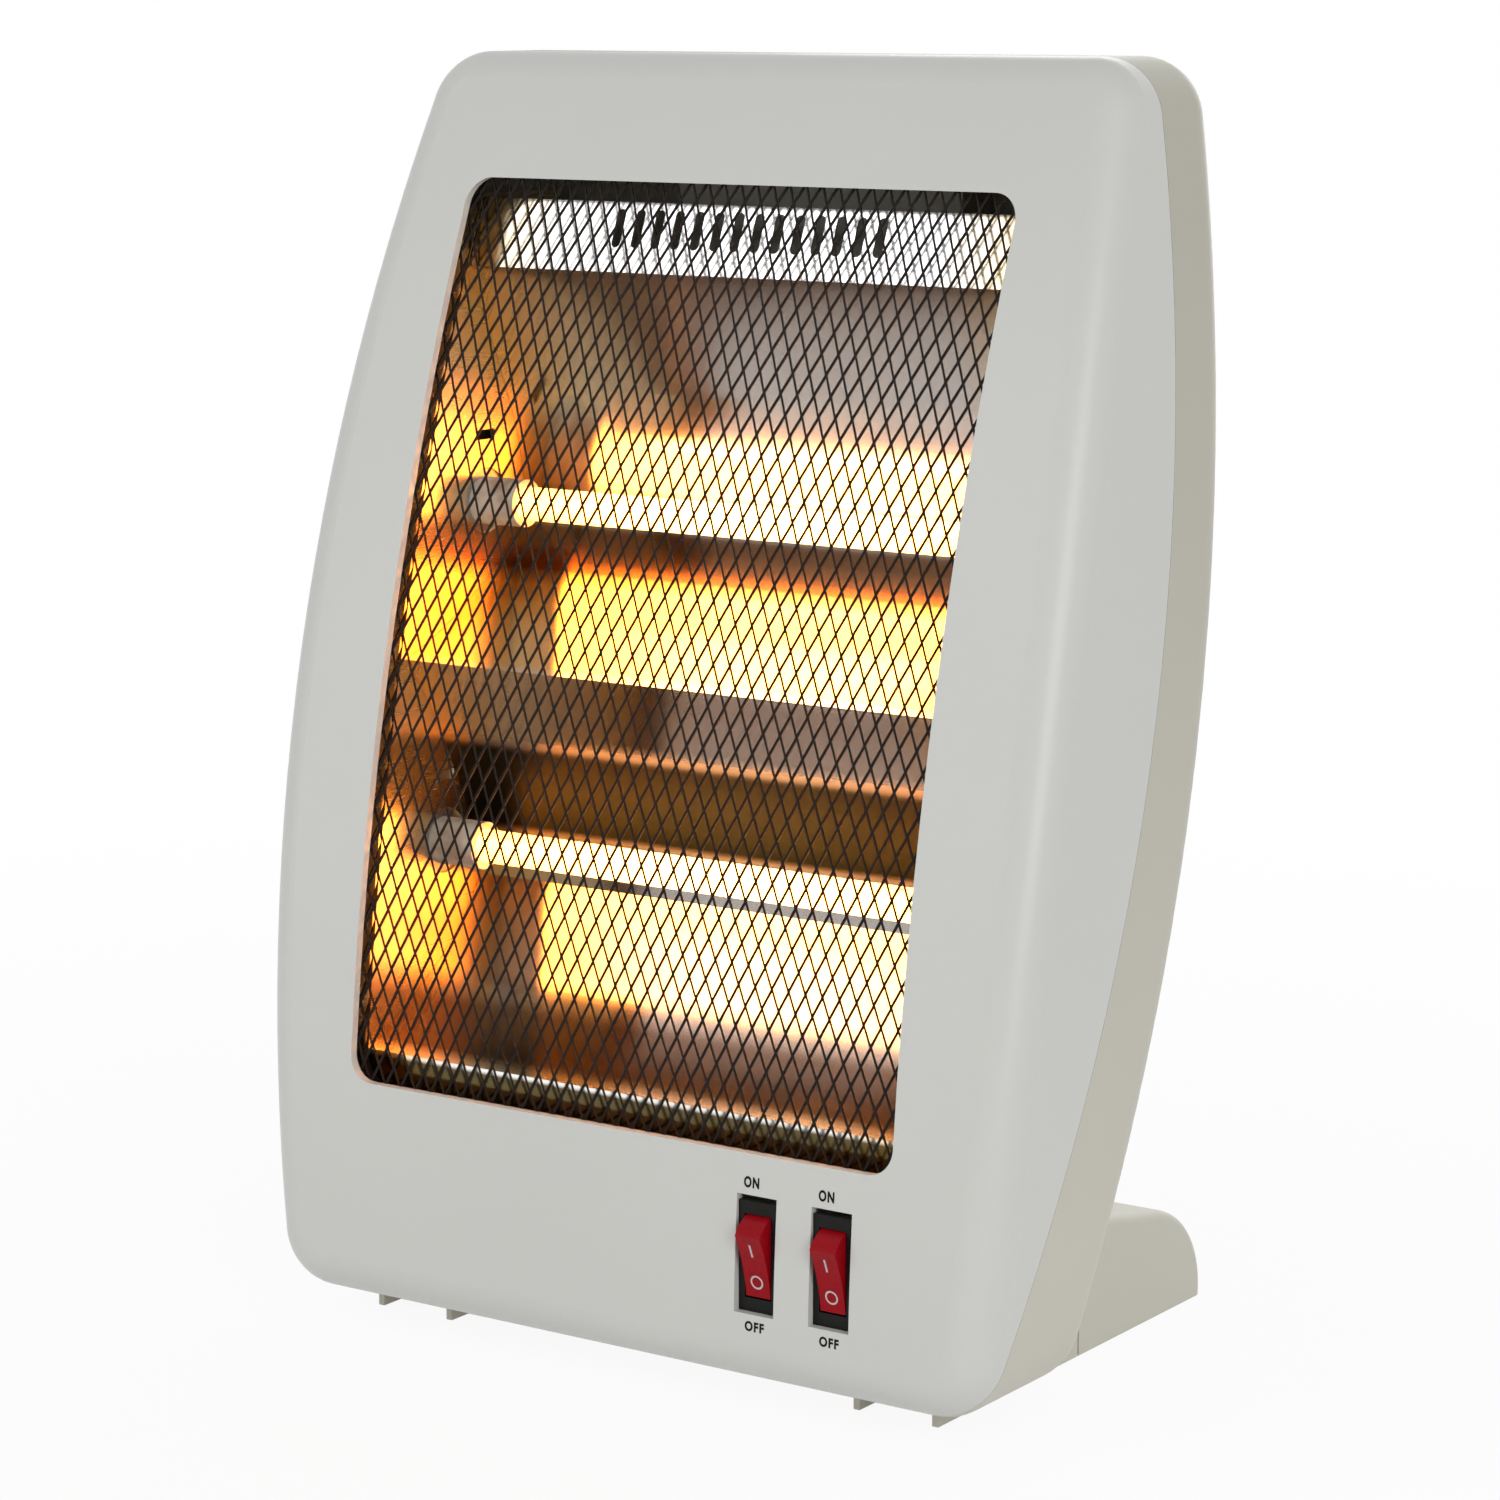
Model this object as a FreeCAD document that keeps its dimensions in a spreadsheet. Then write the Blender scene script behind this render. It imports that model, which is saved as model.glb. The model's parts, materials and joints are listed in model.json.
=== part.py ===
import FreeCAD, Part
import os
import re
import Sketcher

# Quartz halogen heater: curved two-piece housing on two channel feet, two glowing quartz tubes in a
# double-trough reflector behind an expanded-metal guard, two rocker switches and a tip-over switch.
# Frame: millimetres, +Z up, -Y is the front, X = 0 is the plane of symmetry, origin on the floor.

doc = FreeCAD.newDocument("quartz_halogen_heater")
sheet = doc.addObject("Spreadsheet::Sheet", "Sizes")

# Driving dimensions in millimetres and degrees, with the piece that each belongs to
SIZES = (
    # Housing
    ("overall_height", 374.0),
    ("overall_depth", 176.2),
    ("rocker_stand_out", 2.917),
    ("housing_clearance", 7.6),
    ("housing_width", 267.4),
    ("side_radius", 1400.0),
    ("side_widest_height", 180.0),
    ("corner_round", 18.0),
    ("front_round", 12.0),
    ("rear_round", 14.0),
    ("wall", 2.5),
    ("front_radius", 900.0),
    ("seam_radius", 720.0),
    ("seam_reach", 9.5),
    ("seam_reach_height", 355.0),
    ("seam_gap", 0.2),
    ("rear_radius", 930.0),
    ("rear_reach", 43.0),
    ("rear_reach_height", 362.0),
    ("overrun", 6.0),
    ("running_gap", 0.3),
    # Window in the front panel
    ("window_width", 190.2),
    ("window_low", 74.4),
    ("window_high", 337.5),
    ("window_corner", 8.0),
    # Posts and screws that join the two housing halves
    ("cover_post_x", 104.5),
    ("cover_post_low", 61.0),
    ("cover_post_high", 348.0),
    ("front_post_radius", 4.5),
    ("rear_post_radius", 5.5),
    ("rear_post_floor", 3.0),
    ("driver_hole_radius", 3.8),
    ("screw_hole_radius", 1.5),
    ("screw_pass_radius", 1.6),
    ("screw_shank_radius", 1.4),
    ("screw_head_radius", 3.2),
    ("screw_head_height", 2.2),
    ("screw_grip", 9.0),
    ("screw_end_gap", 1.0),
    # Guard of expanded metal behind the window
    ("guard_gap", 0.2),
    ("guard_gauge", 0.8),
    ("guard_margin_x", 3.4),
    ("guard_margin_z", 4.0),
    ("guard_setback", 11.7),
    ("guard_corner", 10.0),
    ("guard_bend", 2.5),
    ("diamond_pitch_x", 13.9),
    ("diamond_pitch_z", 28.7),
    ("diamond_columns", 13),
    ("diamond_rows", 9),
    ("strand", 1.6),
    # Reflector of polished sheet
    ("sheet_gauge", 0.8),
    ("reflector_half_width", 99.4),
    ("reflector_setback", 12.0),
    ("ridge_setback", 16.0),
    ("strip_top", 331.0),
    ("strip_low", 311.0),
    ("ridge_height", 195.5),
    ("lip_high", 81.0),
    ("lip_low", 71.5),
    ("trough_depth", 46.9),
    ("slot_low", 318.0),
    ("slot_high", 329.0),
    ("slot_width", 3.2),
    ("slot_round", 1.5),
    ("slot_pitch", 7.0),
    ("slot_count", 14),
    # End plates with their side flanges, and the heat shield
    ("end_plate_x", 99.5),
    ("end_plate_low", 72.0),
    ("end_plate_high", 332.0),
    ("end_flange_x", 113.0),
    ("end_flange_low", 85.0),
    ("end_flange_high", 327.0),
    ("end_hole_radius", 10.0),
    ("locating_slot_width", 3.0),
    ("locating_slot_height", 9.0),
    ("locating_slot_offset", 20.0),
    ("shield_gap", 12.0),
    ("shield_gauge", 0.6),
    ("shield_low", 95.0),
    ("shield_high", 315.0),
    ("boss_x", 107.0),
    ("boss_radius", 4.0),
    ("boss_low", 95.0),
    ("boss_middle", 200.0),
    ("boss_high", 317.0),
    # Quartz tubes, heating coils and ceramic ends
    ("tube_setback", 44.5),
    ("upper_tube_height", 239.5),
    ("lower_tube_height", 137.8),
    ("tube_radius", 5.0),
    ("tube_bore", 4.0),
    ("tube_half_length", 96.0),
    ("coil_radius", 2.2),
    ("coil_half_length", 92.0),
    ("lead_radius", 0.8),
    ("ceramic_inner_end", 84.0),
    ("ceramic_bore_end", 97.0),
    ("ceramic_outer_end", 112.0),
    ("ceramic_radius", 7.2),
    ("ceramic_flange_radius", 9.0),
    ("ceramic_flange", 2.0),
    ("ceramic_gap", 0.05),
    ("tube_gap", 0.1),
    ("lead_gap", 0.2),
    ("holder_gauge", 1.0),
    ("holder_width", 30.0),
    ("holder_margin", 16.0),
    ("lug_radius", 2.2),
    ("lug_length", 4.0),
    ("tab_width", 6.3),
    ("tab_length", 6.0),
    ("tab_gauge", 0.8),
    # Feet
    ("foot_inner", 71.8),
    ("foot_outer", 99.8),
    ("foot_wall", 2.0),
    ("foot_front", 64.8),
    ("foot_join_height", 45.0),
    ("foot_edge_round", 5.0),
    ("heel_y", 59.5),
    ("heel_z", 2.5),
    ("heel_radius", 28.6),
    ("heel_lean", 10.6),
    ("heel_turn", 45.0),
    ("heel_cut", 2.0),
    ("seat_gap", 0.1),
    ("slit_y", 11.9),
    ("slit_width", 0.8),
    ("slit_height", 14.0),
    ("foot_screw_front", 59.5),
    ("foot_screw_rear", 44.5),
    # Rocker switches and their bracket
    ("slot_1_x", 51.5),
    ("switch_pitch", 24.9),
    ("switch_slot_width", 13.3),
    ("switch_slot_low", 29.0),
    ("switch_slot_high", 62.8),
    ("switch_recess", 0.6),
    ("switch_frame_width", 12.9),
    ("switch_frame_height", 31.6),
    ("switch_frame_depth", 3.0),
    ("switch_body_width", 11.6),
    ("switch_body_height", 28.0),
    ("switch_body_depth", 19.0),
    ("rocker_well_width", 9.0),
    ("rocker_width", 8.2),
    ("rocker_radius", 12.6),
    ("rocker_gap", 0.5),
    ("rocker_pivot_depth", 5.0),
    ("rocker_face", 8.0),
    ("rocker_dish", 0.9),
    ("rocker_heel", 6.0),
    ("rocker_heel_half", 3.0),
    ("rocker_tilt", 17.0),
    ("pivot_radius", 1.2),
    ("pivot_gap", 0.05),
    ("pivot_reach", 5.4),
    ("switch_plate_width", 58.0),
    ("switch_plate_height", 37.0),
    ("switch_plate_gauge", 1.5),
    ("switch_plate_depth", 8.0),
    ("plate_post_x", 25.0),
    ("plate_post_radius", 3.2),
    ("spade_pitch", 8.0),
    ("spade_length", 8.0),
    # Tip-over switch
    ("plunger_y", 44.5),
    ("plunger_radius", 3.0),
    ("plunger_gap", 0.08),
    ("plunger_tip_round", 1.5),
    ("collar_radius", 5.0),
    ("collar_height", 24.0),
    ("collar_gauge", 2.0),
    ("guide_radius", 6.0),
    ("guide_top", 17.5),
    ("stem_radius", 1.5),
    ("stem_top", 49.3),
    ("spring_radius", 3.6),
    ("spring_wire_radius", 0.4),
    ("spring_turns", 6.0),
    ("yoke_half_width", 9.0),
    ("yoke_half_depth", 5.0),
    ("yoke_height", 45.0),
    ("yoke_gauge", 1.0),
    ("yoke_foot", 7.0),
    ("yoke_back_height", 63.0),
    ("micro_width", 20.0),
    ("micro_depth", 6.4),
    ("micro_low", 50.5),
    ("micro_height", 10.0),
    ("button_radius", 1.0),
    ("button_height", 0.9),
    # Small electrical pieces
    ("cutout_y", 6.5),
    ("cutout_height", 290.0),
    ("cutout_radius", 8.0),
    ("cutout_length", 6.0),
    ("cutout_tab_offset", 4.5),
    ("block_x", 55.0),
    ("block_y", 50.5),
    ("block_width", 32.0),
    ("block_depth", 14.0),
    ("block_height", 11.0),
    ("block_pitch", 9.5),
    ("block_hole_radius", 2.4),
    ("inlet_x", 50.0),
    ("inlet_z", 38.0),
    ("inlet_radius", 6.0),
    ("inlet_flange_radius", 8.5),
    ("inlet_flange", 1.8),
    ("inlet_bore", 3.4),
    ("inlet_gap", 0.1),
    # Back of the rear cover
    ("louvre_width", 110.0),
    ("louvre_height", 3.6),
    ("louvre_round", 1.7),
    ("louvre_pitch", 8.0),
    ("louvre_count", 6),
    ("lower_louvre_low", 88.0),
    ("upper_louvre_low", 266.0),
    ("grip_width", 96.0),
    ("grip_low", 324.0),
    ("grip_high", 348.0),
    ("grip_depth", 17.0),
    ("grip_wall", 2.0),
    ("grip_round", 5.0),
)

# Shares of a strand's width that come off a diamond's half width and half height
STRAND_SHARE_ACROSS = 0.56
STRAND_SHARE_UP = 1.15

# Share of the foot's wall by which its inner slope starts lower at the back of the housing
JOIN_DROP_SHARE = 1.1

# Section of a trough between its two edges: shares of its chord and of its depth, for the middles
# and the ends of its four arcs in turn
TROUGH_SHARES = (
    (0.12, 0.301),
    (0.26, 0.595),
    (0.40, 0.841),
    (0.54, 1.0),
    (0.68, 0.837),
    (0.80, 0.595),
    (0.90, 0.335),
)


def fill_sheet():
    for row, (alias, value) in enumerate(SIZES, start=1):
        cell = "A%d" % row
        sheet.set(cell, str(value))
        sheet.setAlias(cell, alias)
    doc.recompute()


fill_sheet()
ALIASES = {alias for alias, value in SIZES}


def formula(text):
    """An expression in which each alias is looked up in the sheet."""
    return re.sub(r"[a-z_][a-z0-9_]*", lambda m: "Sizes." + m[0] if m[0] in ALIASES else m[0], text)


def value(text):
    return float(sheet.evalExpression(formula(text)))


def bind(item, field, text):
    item.setExpression(field, formula(text))


# Curved surfaces of the housing: the expression for their place at height z, moved inwards by an inset

def front_at(z, inset="0"):
    lowest = "sqrt(front_radius^2 - (housing_clearance + front_round)^2)"
    foremost = f"(rocker_stand_out - overall_depth / 2 + {lowest})"
    return f"({foremost} - sqrt((front_radius - ({inset}))^2 - ({z})^2))"


def seam_at(z, inset="0"):
    return (f"(seam_reach - seam_radius + sqrt((seam_radius - ({inset}))^2"
            f" - ({z} - seam_reach_height)^2))")


def rear_at(z, inset="0"):
    return (f"(rear_reach - rear_radius + sqrt((rear_radius - ({inset}))^2"
            f" - ({z} - rear_reach_height)^2))")


def side_at(z, inset="0"):
    return (f"(housing_width / 2 - side_radius + sqrt((side_radius - ({inset}))^2"
            f" - ({z} - side_widest_height)^2))")


def behind_front(distance):
    """The front surface moved straight back by a distance."""
    return lambda z, inset="0": f"({front_at(z)} + {distance} - ({inset}))"


def ahead_of_rear(distance):
    """The rear surface moved straight forward by a distance."""
    return lambda z, inset="0": f"({rear_at(z)} - {distance} - ({inset}))"


# Sketches: an outline is a list of corners, and a corner with four entries starts an arc through a point

def rectangle(x1, x2, y1, y2):
    return [(x1, y1), (x2, y1), (x2, y2), (x1, y2)]


def box_at(x, y, width, height):
    return rectangle(f"{x} - {width} / 2", f"{x} + {width} / 2", f"{y} - {height} / 2", f"{y} + {height} / 2")


def rounded(x1, x2, y1, y2, r):
    cut = f"({r}) * (1 - sqrt(1 / 2))"
    return [
        (f"{x1} + {r}", y1),
        (f"{x2} - ({r})", y1, f"{x2} - {cut}", f"{y1} + {cut}"),
        (x2, f"{y1} + {r}"),
        (x2, f"{y2} - ({r})", f"{x2} - {cut}", f"{y2} - {cut}"),
        (f"{x2} - ({r})", y2),
        (f"{x1} + {r}", y2, f"{x1} + {cut}", f"{y2} - {cut}"),
        (x1, f"{y2} - ({r})"),
        (x1, f"{y1} + {r}", f"{x1} + {cut}", f"{y1} + {cut}"),
    ]


def circle(x, y, radius):
    return ("circle", x, y, radius)


def both_sides(x, y, radius):
    return [circle(x, y, radius), circle(f"-{x}", y, radius)]


def fix_point(sketch, geometry, end, x, y):
    for kind, text in (("DistanceX", x), ("DistanceY", y)):
        number = sketch.addConstraint(Sketcher.Constraint(kind, -1, 1, geometry, end, value(text)))
        bind(sketch, "Constraints[%d]" % number, text)


def draw_circle(sketch, x, y, radius):
    centre = FreeCAD.Vector(value(x), value(y), 0)
    ring = sketch.addGeometry(Part.Circle(centre, FreeCAD.Vector(0, 0, 1), value(radius)))
    fix_point(sketch, ring, 3, x, y)
    number = sketch.addConstraint(Sketcher.Constraint("Radius", ring, value(radius)))
    bind(sketch, "Constraints[%d]" % number, radius)


def draw_edge(sketch, corner, start, end):
    """Adds a line or an arc and gives back its number and the numbers of its two ends."""
    if len(corner) == 2:
        edge = sketch.addGeometry(Part.LineSegment(start, end))
        ends = (1, 2)
    else:
        middle = FreeCAD.Vector(value(corner[2]), value(corner[3]), 0)
        left_turn = (middle - start).cross(end - middle).z > 0
        arc = Part.Arc(start, middle, end) if left_turn else Part.Arc(end, middle, start)
        edge = sketch.addGeometry(arc)
        ends = (1, 2) if left_turn else (2, 1)
        spot = sketch.addGeometry(Part.Point(middle), True)
        fix_point(sketch, spot, 1, corner[2], corner[3])
        sketch.addConstraint(Sketcher.Constraint("PointOnObject", spot, 1, edge))
    fix_point(sketch, edge, ends[0], corner[0], corner[1])
    return edge, ends


def draw(sketch, outline, closed=True):
    if outline[0] == "circle":
        draw_circle(sketch, *outline[1:])
        return
    corners = [FreeCAD.Vector(value(corner[0]), value(corner[1]), 0) for corner in outline]
    starts = outline if closed else outline[:-1]
    edges = []
    for place, corner in enumerate(starts):
        edges.append(draw_edge(sketch, corner, corners[place], corners[(place + 1) % len(corners)]))
    following = edges[1:] + edges[:1] if closed else edges[1:]
    for (edge, ends), (next_edge, next_ends) in zip(edges, following):
        sketch.addConstraint(Sketcher.Constraint("Coincident", edge, ends[1], next_edge, next_ends[0]))
    if not closed:
        edge, ends = edges[-1]
        fix_point(sketch, edge, ends[1], outline[-1][0], outline[-1][1])


def origin_item(body, role):
    return next(item for item in body.Origin.OriginFeatures if item.Role == role)


def make_sketch(body, name, plane, outlines, offset):
    sketch = body.newObject("Sketcher::SketchObject", name)
    sketch.AttachmentSupport = [(origin_item(body, plane + "_Plane"), "")]
    sketch.MapMode = "FlatFace"
    bind(sketch, "AttachmentOffset.Base.z", offset)
    for outline in outlines:
        draw(sketch, outline)
    return sketch


def new_body(name):
    body = doc.addObject("PartDesign::Body", name)
    body.Label = name
    return body


def new_group(name):
    """A body of several like pieces that are fitted together."""
    body = new_body(name)
    body.AllowCompound = True
    return body


def pad(body, name, plane, outlines, low, high):
    """Material between two places along the plane's axis."""
    name = body.Name + "_" + name
    offset = f"-({high})" if plane == "XZ" else low
    feature = body.newObject("PartDesign::Pad", name)
    feature.Profile = make_sketch(body, name + "_sketch", plane, outlines, offset)
    bind(feature, "Length", f"({high}) - ({low})")
    return feature


def pocket(body, name, plane, outlines, low, high):
    """A cut between two places along the plane's axis."""
    name = body.Name + "_" + name
    offset = f"-({low})" if plane == "XZ" else high
    feature = body.newObject("PartDesign::Pocket", name)
    feature.Profile = make_sketch(body, name + "_sketch", plane, outlines, offset)
    bind(feature, "Length", f"({high}) - ({low})")
    return feature


def repeat(body, feature, steps):
    """Repeats a feature along one or two axes; a step is an axis, a pitch and a count."""
    pattern = body.newObject("PartDesign::LinearPattern", feature.Name + "_row")
    pattern.Originals = [feature]
    for (axis, pitch, count), word in zip(steps, ("", "2")):
        setattr(pattern, "Direction" + word, (origin_item(body, axis + "_Axis"), [""]))
        setattr(pattern, "Mode" + word, "Extent")
        bind(pattern, "Length" + word, f"{pitch} * ({count} - 1)")
        bind(pattern, "Occurrences" + word, count)
    body.Tip = pattern
    return pattern


def chosen(items, word, test):
    return ["%s%d" % (word, n) for n, item in enumerate(items, start=1) if test(item)]


def fillet(body, base, name, radius, test):
    doc.recompute()
    feature = body.newObject("PartDesign::Fillet", body.Name + "_" + name)
    feature.Base = (base, chosen(base.Shape.Edges, "Edge", test))
    bind(feature, "Radius", radius)
    return feature


def edge_points(edge):
    first, last = edge.ParameterRange
    return [edge.valueAt(first + (last - first) * share / 4) for share in range(5)]


NEAR = value("wall") / 100


def runs_along_y(edge):
    points = edge_points(edge)
    return (points[0].x - points[-1].x) ** 2 + (points[0].z - points[-1].z) ** 2 < NEAR ** 2


def lies_on(edge, surface, inset="0"):
    return all(abs(p.y - value(surface(str(p.z), inset))) < NEAR for p in edge_points(edge))


def zone(surface_1, inset_1, surface_2, inset_2, low, high):
    """Side outline between two curved surfaces from one height to another."""
    middle = f"((({low}) + ({high})) / 2)"
    return [
        (surface_2(low, inset_2), low, surface_2(middle, inset_2), middle),
        (surface_2(high, inset_2), high),
        (surface_1(high, inset_1), high, surface_1(middle, inset_1), middle),
        (surface_1(low, inset_1), low),
    ]


def barrel_outline(inset):
    """Front outline of the housing: flat top and underside, bowed sides."""
    low = f"(housing_clearance + ({inset}))"
    high = f"(overall_height - ({inset}))"
    middle = "side_widest_height"
    return [
        (f"-{side_at(low, inset)}", low),
        (side_at(low, inset), low, side_at(middle, inset), middle),
        (side_at(high, inset), high),
        (f"-{side_at(high, inset)}", high, f"-{side_at(middle, inset)}", middle),
    ]


HALF_REACH = "(housing_width / 2 + overrun)"
BELOW = "(housing_clearance - overrun)"
ABOVE = "(overall_height + overrun)"


def housing_solid(name, inset):
    """Closed barrel with bowed front, back and sides and rounded edges, moved inwards by an inset."""
    body = new_body(name)
    profile = zone(front_at, inset, rear_at, inset, BELOW, ABOVE)
    pad(body, "block", "YZ", [profile], f"-{HALF_REACH}", HALF_REACH)
    outer = rectangle(f"-{HALF_REACH} - overrun", f"{HALF_REACH} + overrun",
                      f"{BELOW} - overrun", f"{ABOVE} + overrun")
    trim = pocket(body, "trim", "XZ", [outer, barrel_outline(inset)], "-overall_depth", "overall_depth")
    corners = fillet(body, trim, "corners", f"corner_round - ({inset})", runs_along_y)
    rim = fillet(body, corners, "front_rim", f"front_round - ({inset})",
                 lambda edge: lies_on(edge, front_at, inset))
    fillet(body, rim, "rear_rim", f"rear_round - ({inset})", lambda edge: lies_on(edge, rear_at, inset))
    return body


def zone_block(name, profile):
    body = new_body(name)
    pad(body, "block", "YZ", [profile], f"-{HALF_REACH}", HALF_REACH)
    return body


def boolean(kind, name, base, tool):
    item = doc.addObject("Part::" + kind, name)
    item.Label = name
    item.Base = base
    item.Tool = tool
    return item


def body_on(name, base):
    """A body that starts from a finished solid."""
    body = new_body(name)
    body.BaseFeature = base
    return body


def mirrored(name, source):
    item = doc.addObject("Part::Mirroring", name)
    item.Label = name
    item.Source = source
    item.Base = (0, 0, 0)
    item.Normal = (1, 0, 0)
    return item


# Housing: one closed shell, parted along the curved seam into a front panel and a rear cover

housing_shell = boolean("Cut", "housing_shell", housing_solid("housing_outside", "0"),
                        housing_solid("housing_inside", "wall"))
front_zone = zone_block("front_zone", zone(front_at, "-overrun", seam_at, "0", BELOW, ABOVE))
rear_zone = zone_block("rear_zone", zone(seam_at, "-seam_gap", rear_at, "-overrun", BELOW, ABOVE))

UNDERSIDE = "housing_clearance"
FLOOR = "(housing_clearance + wall)"
COVER_POSTS = ("cover_post_low", "cover_post_high")
BOSSES = ("boss_low", "boss_middle", "boss_high")
SWITCHES = ("slot_1_x", "(slot_1_x + switch_pitch)")
SWITCH_MIDDLE = "(switch_slot_low + running_gap + switch_frame_height / 2)"
SWITCH_FRONT = f"({front_at('switch_slot_high')} + switch_recess)"
SWITCH_BACK = f"({SWITCH_FRONT} + switch_frame_depth + switch_body_depth)"
PIVOT_Y = f"({SWITCH_FRONT} + rocker_pivot_depth)"
PLATE_X = "(slot_1_x + switch_pitch / 2)"
PLATE_Y = f"({SWITCH_FRONT} + switch_plate_depth)"
PLATE_POSTS = (f"({PLATE_X} - plate_post_x)", f"({PLATE_X} + plate_post_x)")
FOOT_MIDDLE = "((foot_inner + foot_outer) / 2)"
FOOT_SCREWS = ("foot_screw_front", "foot_screw_rear")


def ribs(body, name, x, profile):
    """Two ribs of the wall's thickness that join a pair of posts to the wall."""
    for word, sign in (("right", ""), ("left", "-")):
        pad(body, f"{name}_rib_{word}", "YZ", [profile], f"{sign}{x} - wall / 2", f"{sign}{x} + wall / 2")


def front_panel():
    body = body_on("front_panel", boolean("Common", "front_shell", housing_shell, front_zone))
    window = rounded("-window_width / 2", "window_width / 2", "window_low", "window_high", "window_corner")
    pocket(body, "window", "XZ", [window], "-overall_depth", "overall_depth")
    slots = [rectangle(f"{x} - switch_slot_width / 2", f"{x} + switch_slot_width / 2",
                       "switch_slot_low", "switch_slot_high") for x in SWITCHES]
    pocket(body, "switch_slots", "XZ", slots, "-overall_depth", "0")
    for z in COVER_POSTS:
        pad(body, z, "XZ", both_sides("cover_post_x", z, "front_post_radius"),
            f"{front_at(f'({z} + front_post_radius)')} + wall / 8", seam_at(z))
        ribs(body, z, "cover_post_x", zone(front_at, "wall / 2", behind_front("2 * front_post_radius"), "0",
                                           f"({z} - 2 * front_post_radius)", z))
        pocket(body, z + "_hole", "XZ", both_sides("cover_post_x", z, "screw_hole_radius"),
               f"{seam_at(z)} - screw_grip", seam_at(z))
    for z in BOSSES:
        pad(body, z, "XZ", both_sides("boss_x", z, "boss_radius"),
            f"{front_at(f'({z} + boss_radius)')} + wall / 8",
            f"{front_at(z)} + reflector_setback + boss_radius")
        ribs(body, z, "boss_x", zone(front_at, "wall / 2", behind_front("wall + boss_radius"), "0",
                                     f"({z} - 2 * boss_radius)", z))
    flange_zone = zone(behind_front("reflector_setback"), "0", behind_front("reflector_setback"),
                       "-2 * boss_radius", "boss_low - 2 * boss_radius", "boss_high + 2 * boss_radius")
    for word, sign in (("right", ""), ("left", "-")):
        middle = f"{sign}boss_x"
        pocket(body, "boss_faces_" + word, "YZ", [flange_zone], f"{middle} - boss_radius - running_gap",
               f"{middle} + boss_radius + running_gap")
    for z in BOSSES:
        pocket(body, z + "_hole", "XZ", both_sides("boss_x", z, "screw_hole_radius"),
               f"{front_at(z)} + wall", f"{front_at(z)} + reflector_setback + boss_radius")
    pad(body, "plate_posts", "XZ", [circle(x, SWITCH_MIDDLE, "plate_post_radius") for x in PLATE_POSTS],
        f"{front_at(SWITCH_MIDDLE)} + wall / 2", PLATE_Y)
    holes = [circle(x, SWITCH_MIDDLE, "screw_hole_radius") for x in PLATE_POSTS]
    pocket(body, "plate_post_holes", "XZ", holes, f"{front_at(SWITCH_MIDDLE)} + wall", PLATE_Y)
    return body


# Cable inlet: its axis stands square to the curved rear wall

INLET_LEAN = "asin((rear_reach_height - inlet_z) / rear_radius)"
INLET_SPOT = ("-inlet_x", rear_at("inlet_z"), "inlet_z")


def inlet_cylinder(name, radius, start, length):
    """Cylinder along the inlet axis; the start is measured outwards from the rear surface."""
    item = doc.addObject("Part::Cylinder", name)
    item.Placement.Rotation = FreeCAD.Rotation(FreeCAD.Vector(-1, 0, 0), 90)
    x, y, z = INLET_SPOT
    bind(item, "Radius", radius)
    bind(item, "Height", length)
    bind(item, "Placement.Base.x", x)
    bind(item, "Placement.Base.y", f"{y} + ({start}) * cos({INLET_LEAN})")
    bind(item, "Placement.Base.z", f"{z} - ({start}) * sin({INLET_LEAN})")
    bind(item, "Placement.Rotation.Angle", f"90 deg + {INLET_LEAN}")
    return item


def cable_inlet():
    neck = inlet_cylinder("inlet_neck", "inlet_radius - inlet_gap", "-wall - inlet_flange - inlet_gap",
                          "wall + 2 * inlet_gap + 2 * inlet_flange")
    outer = inlet_cylinder("inlet_outer_flange", "inlet_flange_radius", "inlet_gap", "inlet_flange")
    inner = inlet_cylinder("inlet_inner_flange", "inlet_flange_radius",
                           "-wall - inlet_gap - inlet_flange", "inlet_flange")
    bore = inlet_cylinder("inlet_bore_tool", "inlet_bore", "-wall - overrun", "wall + 2 * overrun")
    flanges = boolean("Fuse", "inlet_flanges", outer, inner)
    solid = boolean("Fuse", "inlet_solid", neck, flanges)
    return boolean("Cut", "cable_inlet", solid, bore)


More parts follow.
